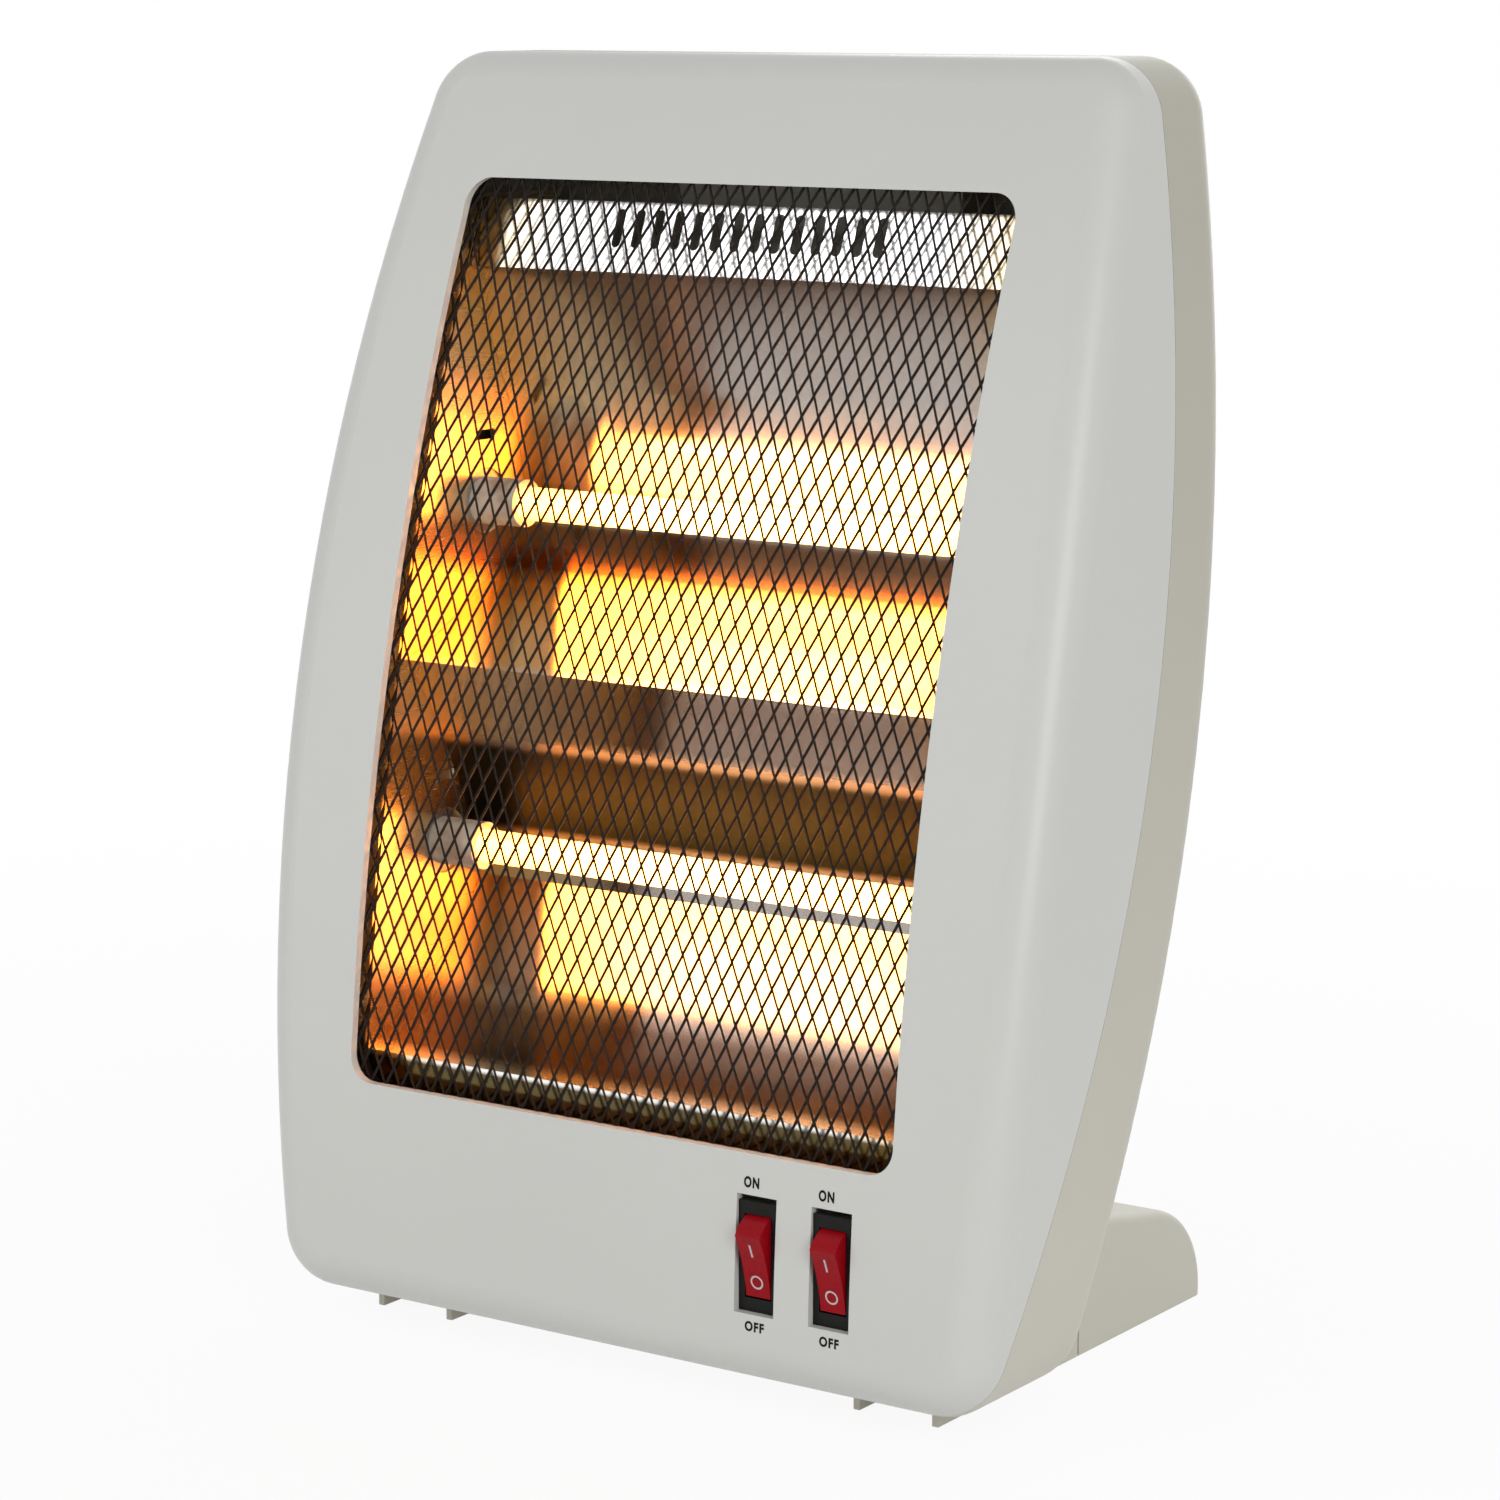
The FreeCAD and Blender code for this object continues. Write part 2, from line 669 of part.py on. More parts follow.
def rear_cover():
    body = body_on("rear_cover_moulding", boolean("Common", "rear_shell", housing_shell, rear_zone))
    for z in COVER_POSTS:
        start = seam_at(z, "-seam_gap")
        pad(body, z, "XZ", both_sides("cover_post_x", z, "rear_post_radius"),
            start, f"{rear_at(f'({z} - rear_post_radius)')} - wall / 8")
        ribs(body, z, "cover_post_x", zone(ahead_of_rear("2 * rear_post_radius"), "0", rear_at, "wall / 2",
                                           z, f"({z} + 2 * rear_post_radius)"))
        pocket(body, z + "_driver_hole", "XZ", both_sides("cover_post_x", z, "driver_hole_radius"),
               f"{start} + rear_post_floor", f"{rear_at(z)} + overrun")
        pocket(body, z + "_pass_hole", "XZ", both_sides("cover_post_x", z, "screw_pass_radius"),
               f"{start} - overrun", f"{start} + rear_post_floor + wall")
    for y in FOOT_SCREWS:
        pad(body, y, "XY", both_sides(FOOT_MIDDLE, f"-{y}", "front_post_radius"),
            f"{UNDERSIDE} + wall / 2", f"{UNDERSIDE} + screw_grip")
        pocket(body, y + "_hole", "XY", both_sides(FOOT_MIDDLE, f"-{y}", "screw_hole_radius"),
               f"{UNDERSIDE} - overrun", f"{UNDERSIDE} + screw_grip")
    pad(body, "plunger_guide", "XY", [circle("0", "-plunger_y", "guide_radius")],
        f"{UNDERSIDE} + wall / 2", "guide_top")
    pocket(body, "plunger_hole", "XY", [circle("0", "-plunger_y", "plunger_radius + plunger_gap")],
           f"{UNDERSIDE} - overrun", "guide_top + overrun")
    for low in ("lower_louvre_low", "upper_louvre_low"):
        slot = rounded("-louvre_width / 2", "louvre_width / 2", low, f"{low} + louvre_height", "louvre_round")
        louvre = pocket(body, low, "XZ", [slot], "-plunger_y", "overall_depth")
        repeat(body, louvre, [("Z", "louvre_pitch", "louvre_count")])
    back = rear_at("(grip_low - grip_wall)")
    cup = rounded("-grip_width / 2 - grip_wall", "grip_width / 2 + grip_wall",
                  "grip_low - grip_wall", "grip_high + grip_wall", "grip_round + grip_wall")
    recess = rounded("-grip_width / 2", "grip_width / 2", "grip_low", "grip_high", "grip_round")
    pad(body, "grip_cup", "XZ", [cup], f"{back} - grip_depth - grip_wall", f"{back} - wall / 2")
    pocket(body, "grip_recess", "XZ", [recess], f"{back} - grip_depth", "overall_depth")
    hole = inlet_cylinder("inlet_hole_tool", "inlet_radius", "-wall - overrun", "wall + 2 * overrun")
    return boolean("Cut", "rear_cover", body, hole)


# Guard: a shallow tray of expanded metal, its face following the curved front

GUARD_HALF = "(window_width / 2 + guard_margin_x)"


def guard_block(name, inset, rear):
    low = f"(window_low - guard_margin_z + ({inset}))"
    high = f"(window_high + guard_margin_z - ({inset}))"
    face = f"wall + guard_gap + ({inset})"
    half = f"({GUARD_HALF} - ({inset}))"
    body = new_body(name)
    profile = zone(front_at, face, behind_front("guard_setback"), rear, low, high)
    block = pad(body, "block", "YZ", [profile], f"-{half}", half)
    corners = fillet(body, block, "corners", f"guard_corner - ({inset})", runs_along_y)
    fillet(body, corners, "bend", f"guard_bend - ({inset})", lambda edge: lies_on(edge, front_at, face))
    return body


def diamond(x, z):
    half_x = f"(diamond_pitch_x / 2 - strand * {STRAND_SHARE_ACROSS})"
    half_z = f"(diamond_pitch_z / 2 - strand * {STRAND_SHARE_UP})"
    return [(f"{x} - {half_x}", z), (x, f"{z} - {half_z}"), (f"{x} + {half_x}", z), (x, f"{z} + {half_z}")]


def guard_mesh():
    tray = boolean("Cut", "guard_tray", guard_block("guard_outside", "0", "0"),
                   guard_block("guard_inside", "guard_gauge", "-overrun"))
    body = body_on("guard_mesh", tray)
    middle = "((window_low + window_high) / 2)"
    for word, fewer in (("even", 0), ("odd", 1)):
        columns = f"(diamond_columns - {fewer})"
        rows = f"(diamond_rows - {fewer})"
        first = diamond(f"(-diamond_pitch_x * ({columns} - 1) / 2)",
                        f"({middle} - diamond_pitch_z * ({rows} - 1) / 2)")
        hole = pocket(body, word + "_diamond", "XZ", [first], "-overall_depth", "0")
        repeat(body, hole, [("X", "diamond_pitch_x", columns), ("Z", "diamond_pitch_z", rows)])
    return body


# Reflector: one bent sheet with a slotted strip above two troughs

def trough(y1, z1, y2, z2):
    """The corners of a trough from its upper edge to, but not with, its lower edge."""
    def spot(along, deep):
        length = f"sqrt(({y2} - {y1})^2 + ({z2} - {z1})^2)"
        drop = f"({deep} * trough_depth / {length})"
        return (f"({y1} + ({y2} - {y1}) * {along} - ({z2} - {z1}) * {drop})",
                f"({z1} + ({z2} - {z1}) * {along} + ({y2} - {y1}) * {drop})")
    spots = [(y1, z1)] + [spot(along, deep) for along, deep in TROUGH_SHARES]
    return [start + middle for start, middle in zip(spots[::2], spots[1::2])]


def reflector():
    at = behind_front("reflector_setback")
    ridge = behind_front("ridge_setback")("ridge_height")
    profile = [(at("strip_top"), "strip_top")]
    profile += trough(at("strip_low"), "strip_low", ridge, "ridge_height")
    profile += trough(ridge, "ridge_height", at("lip_high"), "lip_high")
    profile += [(at("lip_high"), "lip_high"), (at("lip_low"), "lip_low")]
    sketch = doc.addObject("Sketcher::SketchObject", "reflector_profile")
    sketch.Placement = FreeCAD.Placement(FreeCAD.Vector(), FreeCAD.Rotation(FreeCAD.Vector(1, 1, 1), 120))
    draw(sketch, profile, closed=False)
    doc.recompute()
    section = doc.addObject("Part::Offset2D", "reflector_section")
    section.Source = sketch
    section.Mode = "Skin"
    section.Join = "Intersection"
    section.Fill = True
    bind(section, "Value", "-sheet_gauge")
    sheet_metal = doc.addObject("Part::Extrusion", "reflector_sheet")
    sheet_metal.Base = section
    sheet_metal.DirMode = "Normal"
    sheet_metal.Symmetric = True
    sheet_metal.Solid = True
    bind(sheet_metal, "LengthFwd", "2 * reflector_half_width")
    body = body_on("reflector", sheet_metal)
    first = "(-slot_pitch * (slot_count - 1) / 2)"
    outline = rounded(f"{first} - slot_width / 2", f"{first} + slot_width / 2", "slot_low", "slot_high",
                      "slot_round")
    slot = pocket(body, "slot", "XZ", [outline], "-overall_depth", "0")
    repeat(body, slot, [("X", "slot_pitch", "slot_count")])
    return body


# End plates and tube holders: right-hand pieces, then their mirror images

TUBE_HEIGHTS = {"upper": "upper_tube_height", "lower": "lower_tube_height"}
TUBE_Y = {word: f"({front_at(z)} + tube_setback)" for word, z in TUBE_HEIGHTS.items()}
TUBE_PLACES = [(TUBE_Y[word], TUBE_HEIGHTS[word]) for word in TUBE_HEIGHTS]
PLATE_BACK_X = "(end_plate_x + sheet_gauge)"


def end_plate():
    body = new_body("end_plate_right")
    front = behind_front("reflector_setback")
    pad(body, "web", "YZ", [zone(front, "0", ahead_of_rear("shield_gap"), "0", "end_plate_low",
                                 "end_plate_high")], "end_plate_x", PLATE_BACK_X)
    pad(body, "flange", "YZ", [zone(front, "0", front, "-sheet_gauge", "end_flange_low", "end_flange_high")],
        "end_plate_x", "end_flange_x")
    pocket(body, "tube_holes", "YZ", [circle(y, z, "end_hole_radius") for y, z in TUBE_PLACES],
           "end_plate_x - overrun", "end_flange_x")
    slots = [box_at(y, f"({z} + locating_slot_offset)", "locating_slot_height", "locating_slot_width")
             for y, z in TUBE_PLACES]
    pocket(body, "locating_slots", "YZ", slots, "end_plate_x - overrun", "end_flange_x")
    pocket(body, "screw_holes", "XZ", [circle("boss_x", z, "screw_pass_radius") for z in BOSSES],
           "-overall_depth", "overall_depth")
    return body


def tube_holder():
    body = new_body("tube_holder_right")
    (upper_y, upper_z), (lower_y, lower_z) = TUBE_PLACES
    strip = [(f"{lower_y} - holder_width / 2", f"{lower_z} - holder_margin"),
             (f"{lower_y} + holder_width / 2", f"{lower_z} - holder_margin"),
             (f"{upper_y} + holder_width / 2", f"{upper_z} + holder_margin"),
             (f"{upper_y} - holder_width / 2", f"{upper_z} + holder_margin")]
    pad(body, "strip", "YZ", [strip], PLATE_BACK_X, f"{PLATE_BACK_X} + holder_gauge")
    pocket(body, "holes", "YZ", [circle(y, z, "ceramic_radius + ceramic_gap") for y, z in TUBE_PLACES],
           PLATE_BACK_X, f"{PLATE_BACK_X} + overrun")
    return body


def heat_shield():
    body = new_body("heat_shield")
    surface = ahead_of_rear("shield_gap")
    pad(body, "sheet", "YZ", [zone(surface, "0", surface, "-shield_gauge", "shield_low", "shield_high")],
        f"-{PLATE_BACK_X}", PLATE_BACK_X)
    return body


# Heating elements: quartz tube, coil with its leads, ceramic ends and terminal lugs

def ceramic_end(word):
    y, z = TUBE_Y[word], TUBE_HEIGHTS[word]
    seat = f"({PLATE_BACK_X} + holder_gauge)"
    body = new_body("ceramic_end_%s_right" % word)
    pad(body, "barrel", "YZ", [circle(y, z, "ceramic_radius")], "ceramic_inner_end", "ceramic_outer_end")
    pad(body, "flange", "YZ", [circle(y, z, "ceramic_flange_radius")], seat, f"{seat} + ceramic_flange")
    pocket(body, "bore", "YZ", [circle(y, z, "tube_radius + tube_gap")], "ceramic_inner_end - overrun",
           "ceramic_bore_end")
    pocket(body, "lead_hole", "YZ", [circle(y, z, "lead_radius + lead_gap")], "ceramic_inner_end",
           "ceramic_outer_end + overrun")
    return body


def quartz_tube(word):
    y, z = TUBE_Y[word], TUBE_HEIGHTS[word]
    body = new_body("quartz_tube_" + word)
    pad(body, "wall", "YZ", [circle(y, z, "tube_radius"), circle(y, z, "tube_bore")],
        "-tube_half_length", "tube_half_length")
    return body


def heating_coil(word):
    y, z = TUBE_Y[word], TUBE_HEIGHTS[word]
    body = new_body("heating_coil_" + word)
    pad(body, "winding", "YZ", [circle(y, z, "coil_radius")], "-coil_half_length", "coil_half_length")
    pad(body, "lead", "YZ", [circle(y, z, "lead_radius")], "-ceramic_outer_end", "ceramic_outer_end")
    return body


def element_terminals():
    body = new_group("element_terminals")
    circles = [circle(y, z, "lug_radius") for y, z in TUBE_PLACES]
    tabs = [box_at(y, z, "tab_gauge", "tab_width") for y, z in TUBE_PLACES]
    tab_start = "(ceramic_outer_end + lug_length)"
    tab_end = f"({tab_start} + tab_length)"
    pad(body, "lugs_right", "YZ", circles, "ceramic_outer_end", tab_start)
    pad(body, "tabs_right", "YZ", tabs, tab_start, tab_end)
    pad(body, "lugs_left", "YZ", circles, f"-{tab_start}", "-ceramic_outer_end")
    pad(body, "tabs_left", "YZ", tabs, f"-{tab_end}", f"-{tab_start}")
    return body


def thermal_cutout():
    body = new_body("thermal_cutout")
    outer = f"({PLATE_BACK_X} + cutout_length)"
    pad(body, "can", "YZ", [circle("cutout_y", "cutout_height", "cutout_radius")],
        f"-{outer}", f"-{PLATE_BACK_X}")
    tabs = [box_at("cutout_y", f"(cutout_height {sign} cutout_tab_offset)", "tab_width", "tab_gauge")
            for sign in "+-"]
    pad(body, "tabs", "YZ", tabs, f"-{outer} - tab_length", f"-{outer}")
    return body


# Feet: downward channels that follow the underside and the back of the housing

CORNER_Z = "(housing_clearance + rear_round)"
CORNER_Y = (f"(rear_reach - rear_radius"
            f" + sqrt((rear_radius - rear_round)^2 - (rear_reach_height - {CORNER_Z})^2))")


def foot_outline(inset):
    """Side outline of a foot, moved inwards by an inset; the inner one runs out at the front and below."""
    gap = f"(seat_gap + ({inset}))"
    top = f"(housing_clearance - {gap})"
    radius = f"(rear_round + {gap})"
    reach = "(rear_radius - rear_round)"
    out_y = f"(({CORNER_Y} - rear_reach + rear_radius) / {reach})"
    out_z = f"(({CORNER_Z} - rear_reach_height) / {reach})"
    join = f"(foot_join_height - {JOIN_DROP_SHARE} * ({inset}))"
    bow = f"(({CORNER_Z} + {radius} * {out_z} + {join}) / 2)"
    heel = f"(heel_radius - ({inset}))"
    past = "0" if inset == "0" else "overrun"
    bottom = f"(-{past})"
    front = f"(-foot_front - {past})"
    return [
        (front, bottom),
        (front, top),
        (CORNER_Y, top, f"{CORNER_Y} + {radius} * sin(heel_turn)", f"{CORNER_Z} - {radius} * cos(heel_turn)"),
        (f"{CORNER_Y} + {radius} * {out_y}", f"{CORNER_Z} + {radius} * {out_z}",
         rear_at(bow, f"-{gap}"), bow),
        (rear_at(join, f"-{gap}"), join),
        (f"heel_y + {heel} * sin(heel_lean)", f"heel_z + {heel} * cos(heel_lean)",
         f"heel_y + {heel} * sin(heel_turn)", f"heel_z + {heel} * cos(heel_turn)"),
        (f"heel_y + {heel}", "heel_z"),
        (f"heel_y + {heel} - heel_cut", bottom),
    ]


def is_foot_edge(edge):
    points = edge_points(edge)
    sides = (value("foot_inner"), value("foot_outer"))
    at_side = all(min(abs(p.x - side) for side in sides) < NEAR for p in points)
    clear = all(p.y > value(rear_at(str(p.z))) + value("seat_gap + wall") for p in points[1:])
    above = all(p.z > value("heel_z") - NEAR for p in points)
    return at_side and clear and above


def foot():
    block = new_body("foot_block")
    outside = pad(block, "profile", "YZ", [foot_outline("0")], "foot_inner", "foot_outer")
    fillet(block, outside, "round", "foot_edge_round", is_foot_edge)
    core = new_body("foot_core")
    pad(core, "profile", "YZ", [foot_outline("foot_wall")],
        "foot_inner + foot_wall", "foot_outer - foot_wall")
    body = body_on("right_foot", boolean("Cut", "foot_channel", block, core))
    slit = rectangle("slit_y - slit_width / 2", "slit_y + slit_width / 2", "-overrun", "slit_height")
    pocket(body, "slit", "YZ", [slit], "foot_outer - foot_wall - overrun", "foot_outer + overrun")
    holes = [circle(FOOT_MIDDLE, f"-{y}", "screw_pass_radius") for y in FOOT_SCREWS]
    pocket(body, "screw_holes", "XY", holes, "0", "housing_clearance")
    return body


# Rocker switches

def switch_body(number):
    x = SWITCHES[number - 1]
    body = new_body("switch_body_%d" % number)
    pad(body, "frame", "XZ", [box_at(x, SWITCH_MIDDLE, "switch_frame_width", "switch_frame_height")],
        SWITCH_FRONT, f"{SWITCH_FRONT} + switch_frame_depth")
    pad(body, "case", "XZ", [box_at(x, SWITCH_MIDDLE, "switch_body_width", "switch_body_height")],
        f"{SWITCH_FRONT} + switch_frame_depth", SWITCH_BACK)
    pocket(body, "well", "YZ", [circle(PIVOT_Y, SWITCH_MIDDLE, "rocker_radius + rocker_gap")],
           f"{x} - rocker_well_width / 2", f"{x} + rocker_well_width / 2")
    pocket(body, "pivot_hole", "YZ", [circle(PIVOT_Y, SWITCH_MIDDLE, "pivot_radius + pivot_gap")],
           f"{x} - switch_frame_width", f"{x} + switch_frame_width")
    return body


# Middle of the rocker's end arc, seen from its pivot
SIDE_TURN = "((90 deg + acos(rocker_face / rocker_radius)) / 2)"


def rocker(number):
    x = SWITCHES[number - 1]
    half = "sqrt(rocker_radius^2 - rocker_face^2)"
    side = f"(rocker_radius * sin({SIDE_TURN}))"
    deep = f"(rocker_radius * cos({SIDE_TURN}))"

    def spot(out, up):
        return (f"({PIVOT_Y} - ({out}) * cos(rocker_tilt) - ({up}) * sin(rocker_tilt))",
                f"({SWITCH_MIDDLE} - ({out}) * sin(rocker_tilt) + ({up}) * cos(rocker_tilt))")

    outline = [
        spot("rocker_face", half) + spot(deep, side),
        spot("0", "rocker_radius"),
        spot("-rocker_heel", "rocker_heel_half"),
        spot("-rocker_heel", "-rocker_heel_half"),
        spot("0", "-rocker_radius") + spot(deep, f"-{side}"),
        spot("rocker_face", f"-{half}") + spot("rocker_face - rocker_dish", "0"),
    ]
    body = new_body("rocker_%d" % number)
    pad(body, "lever", "YZ", [outline], f"{x} - rocker_width / 2", f"{x} + rocker_width / 2")
    pad(body, "pivots", "YZ", [circle(PIVOT_Y, SWITCH_MIDDLE, "pivot_radius")],
        f"{x} - pivot_reach", f"{x} + pivot_reach")
    return body


def switch_bracket():
    body = new_body("switch_bracket")
    end = f"{PLATE_Y} + switch_plate_gauge"
    pad(body, "plate", "XZ", [box_at(PLATE_X, SWITCH_MIDDLE, "switch_plate_width", "switch_plate_height")],
        PLATE_Y, end)
    windows = [box_at(x, SWITCH_MIDDLE, "(switch_body_width + 2 * seat_gap)",
                      "(switch_body_height + 2 * seat_gap)") for x in SWITCHES]
    pocket(body, "switch_holes", "XZ", windows, PLATE_Y, end)
    pocket(body, "screw_holes", "XZ", [circle(x, SWITCH_MIDDLE, "screw_pass_radius") for x in PLATE_POSTS],
           PLATE_Y, end)
    return body


def switch_terminals():
    body = new_group("switch_terminals")
    spades = [box_at(x, f"({SWITCH_MIDDLE} + {step} * spade_pitch)", "tab_width", "tab_gauge")
              for x in SWITCHES for step in (-1, 0, 1)]
    pad(body, "spades", "XZ", spades, SWITCH_BACK, f"{SWITCH_BACK} + spade_length")
    return body


# Tip-over switch: a plunger that rests on the floor, its spring, yoke and micro switch

SPRING_LOW = "(collar_height + collar_gauge)"
SPRING_HIGH = "(yoke_height - yoke_gauge)"


def tilt_plunger():
    body = new_body("tilt_plunger")
    pin = pad(body, "pin", "XY", [circle("0", "-plunger_y", "plunger_radius")], "0", "collar_height")
    fillet(body, pin, "tip", "plunger_tip_round", lambda edge: all(p.z < NEAR for p in edge_points(edge)))
    pad(body, "collar", "XY", [circle("0", "-plunger_y", "collar_radius")], "collar_height", SPRING_LOW)
    pad(body, "stem", "XY", [circle("0", "-plunger_y", "stem_radius")], SPRING_LOW, "stem_top")
    return body


def tilt_spring():
    body = new_body("tilt_spring")
    wire = circle("spring_radius", f"{SPRING_LOW} + spring_wire_radius", "spring_wire_radius")
    helix = body.newObject("PartDesign::AdditiveHelix", "spring_helix")
    helix.Profile = make_sketch(body, "spring_wire", "XZ", [wire], "0")
    helix.ReferenceAxis = (origin_item(body, "Z_Axis"), [""])
    helix.Mode = "height-turns-angle"
    bind(helix, "Height", f"{SPRING_HIGH} - {SPRING_LOW} - 2 * spring_wire_radius")
    bind(helix, "Turns", "spring_turns")
    bind(body, "Placement.Base.y", "-plunger_y")
    return body


def tilt_switch_bracket():
    body = new_body("tilt_switch_bracket")
    front = "(-plunger_y - yoke_half_depth)"
    rear = "(-plunger_y + yoke_half_depth)"
    pad(body, "top", "XY", [rectangle("-yoke_half_width", "yoke_half_width", front, rear)],
        SPRING_HIGH, "yoke_height")
    legs = [rectangle(f"{sign}yoke_half_width {inward} yoke_gauge", f"{sign}yoke_half_width",
                      FLOOR, "yoke_height") for sign, inward in (("", "-"), ("-", "+"))]
    pad(body, "legs", "XZ", legs, front, rear)
    feet = [rectangle(f"{sign}yoke_half_width", f"{sign}yoke_half_width {outward} yoke_foot", front, rear)
            for sign, outward in (("", "+"), ("-", "-"))]
    pad(body, "feet", "XY", feet, FLOOR, f"{FLOOR} + yoke_gauge")
    back = "(-plunger_y + micro_depth / 2)"
    plate = rectangle("-yoke_half_width", "yoke_half_width", SPRING_HIGH, "yoke_back_height")
    pad(body, "back", "XZ", [plate], back, f"{back} + yoke_gauge")
    pocket(body, "stem_hole", "XY", [circle("0", "-plunger_y", "stem_radius + plunger_gap")],
           SPRING_HIGH, "yoke_height")
    return body


def tilt_switch_body():
    body = new_body("tilt_switch_body")
    pad(body, "case", "XY", [box_at("0", "-plunger_y", "micro_width", "micro_depth")],
        "micro_low", "micro_low + micro_height")
    pad(body, "button", "XY", [circle("0", "-plunger_y", "button_radius")],
        "micro_low - button_height", "micro_low")
    return body


# Terminal block on the floor of the rear cover

def terminal_block():
    body = new_body("terminal_block")
    low = FLOOR
    high = f"({FLOOR} + block_height)"
    pad(body, "block", "XY", [box_at("-block_x", "-block_y", "block_width", "block_depth")], low, high)
    holes = [circle(f"-block_x + {step} * block_pitch", f"{low} + block_height / 2", "block_hole_radius")
             for step in (-1, 0, 1)]
    pocket(body, "wire_holes", "XZ", holes, "-overall_depth", "0")
    tops = [circle(f"-block_x + {step} * block_pitch", "-block_y", "screw_pass_radius")
            for step in (-1, 0, 1)]
    pocket(body, "screw_holes", "XY", tops, f"{low} + block_height / 2", high)
    return body


# Screws, gathered by the joint that they close

def cover_screws():
    body = new_group("cover_screws")
    for z in COVER_POSTS:
        seat = f"({seam_at(z, '-seam_gap')} + rear_post_floor)"
        pad(body, z + "_head", "XZ", both_sides("cover_post_x", z, "screw_head_radius"),
            seat, f"{seat} + screw_head_height")
        pad(body, z + "_shank", "XZ", both_sides("cover_post_x", z, "screw_shank_radius"),
            f"{seam_at(z)} - screw_grip + screw_end_gap", seat)
    return body


def foot_screws():
    body = new_group("foot_screws")
    seat = "(housing_clearance - seat_gap - foot_wall)"
    places = [pair for y in FOOT_SCREWS for pair in ((FOOT_MIDDLE, f"-{y}"), (f"-{FOOT_MIDDLE}", f"-{y}"))]
    pad(body, "heads", "XY", [circle(x, y, "screw_head_radius") for x, y in places],
        f"{seat} - screw_head_height", seat)
    pad(body, "shanks", "XY", [circle(x, y, "screw_shank_radius") for x, y in places],
        seat, "housing_clearance + screw_grip - screw_end_gap")
    return body


def reflector_screws():
    body = new_group("reflector_screws")
    for z in BOSSES:
        seat = f"({front_at(f'({z} + screw_head_radius)')} + reflector_setback + sheet_gauge)"
        pad(body, z + "_head", "XZ", both_sides("boss_x", z, "screw_head_radius"),
            seat, f"{seat} + screw_head_height")
        pad(body, z + "_shank", "XZ", both_sides("boss_x", z, "screw_shank_radius"),
            f"{front_at(z)} + wall + screw_end_gap", seat)
    return body


def switch_screws():
    body = new_group("switch_screws")
    seat = f"({PLATE_Y} + switch_plate_gauge)"
    pad(body, "heads", "XZ", [circle(x, SWITCH_MIDDLE, "screw_head_radius") for x in PLATE_POSTS],
        seat, f"{seat} + screw_head_height")
    pad(body, "shanks", "XZ", [circle(x, SWITCH_MIDDLE, "screw_shank_radius") for x in PLATE_POSTS],
        f"{front_at(SWITCH_MIDDLE)} + wall + screw_end_gap", seat)
    return body


right_hand = [foot(), end_plate(), tube_holder(), ceramic_end("upper"), ceramic_end("lower")]
parts = [front_panel(), rear_cover(), guard_mesh(), reflector(), heat_shield()]
parts += right_hand
parts += [mirrored(piece.Label.replace("right", "left"), piece) for piece in right_hand]
for word in TUBE_HEIGHTS:
    parts += [quartz_tube(word), heating_coil(word)]
for number in (1, 2):
    parts += [switch_body(number), rocker(number)]
parts += [element_terminals(), thermal_cutout(), switch_bracket(), switch_terminals()]
parts += [tilt_plunger(), tilt_spring(), tilt_switch_bracket(), tilt_switch_body()]
parts += [terminal_block(), cable_inlet()]
parts += [cover_screws(), foot_screws(), reflector_screws(), switch_screws()]
doc.recompute()

for item in doc.Objects:
    if "Invalid" in item.State or "Error" in item.State:
        raise RuntimeError("%s failed: %s" % (item.Name, item.State))

os.makedirs("parts", exist_ok=True)
for part in parts:
    if part.Shape.isNull() or not part.Shape.isValid():
        raise RuntimeError("%s has no valid solid" % part.Label)
    part.Shape.exportStep(os.path.join("parts", part.Label + ".step"))
    print(part.Label, round(part.Shape.Volume), part.Shape.BoundBox)
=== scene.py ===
import json
import math

import bmesh
import bpy
from mathutils import Matrix, Vector


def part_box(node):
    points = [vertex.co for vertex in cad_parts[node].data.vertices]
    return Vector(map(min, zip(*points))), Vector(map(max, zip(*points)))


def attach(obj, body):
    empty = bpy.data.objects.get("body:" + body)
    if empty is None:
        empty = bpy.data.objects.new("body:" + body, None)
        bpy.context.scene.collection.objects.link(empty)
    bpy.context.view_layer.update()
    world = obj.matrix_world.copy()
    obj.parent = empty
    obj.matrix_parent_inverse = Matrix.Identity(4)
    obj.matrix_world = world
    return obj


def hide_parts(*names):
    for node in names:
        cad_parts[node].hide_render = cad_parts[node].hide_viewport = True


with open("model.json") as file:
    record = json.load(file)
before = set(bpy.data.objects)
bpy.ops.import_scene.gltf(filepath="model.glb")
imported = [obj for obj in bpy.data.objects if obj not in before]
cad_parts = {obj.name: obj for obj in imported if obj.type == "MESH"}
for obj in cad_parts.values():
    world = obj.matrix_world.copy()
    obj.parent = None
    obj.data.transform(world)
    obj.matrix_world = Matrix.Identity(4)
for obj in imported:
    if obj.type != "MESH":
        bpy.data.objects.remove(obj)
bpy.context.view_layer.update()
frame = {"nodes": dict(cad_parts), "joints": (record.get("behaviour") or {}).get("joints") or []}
scene = bpy.context.scene


# Front panel: the bowed front half of the housing, injection-moulded in warm light grey plastic.
# Its skin has the fine even grain of a spark-eroded mould and a soft gloss. Painted shade darkens
# it slightly towards the top.

# Heights where the painted shade towards the top begins and where it is full
painted_shade_heights = (0.05, 0.33)
housing_grey = (0.620, 0.625, 0.593)
# Tint of the painted shade at the top of the front panel
housing_painted_shade = (0.940, 0.940, 0.940)


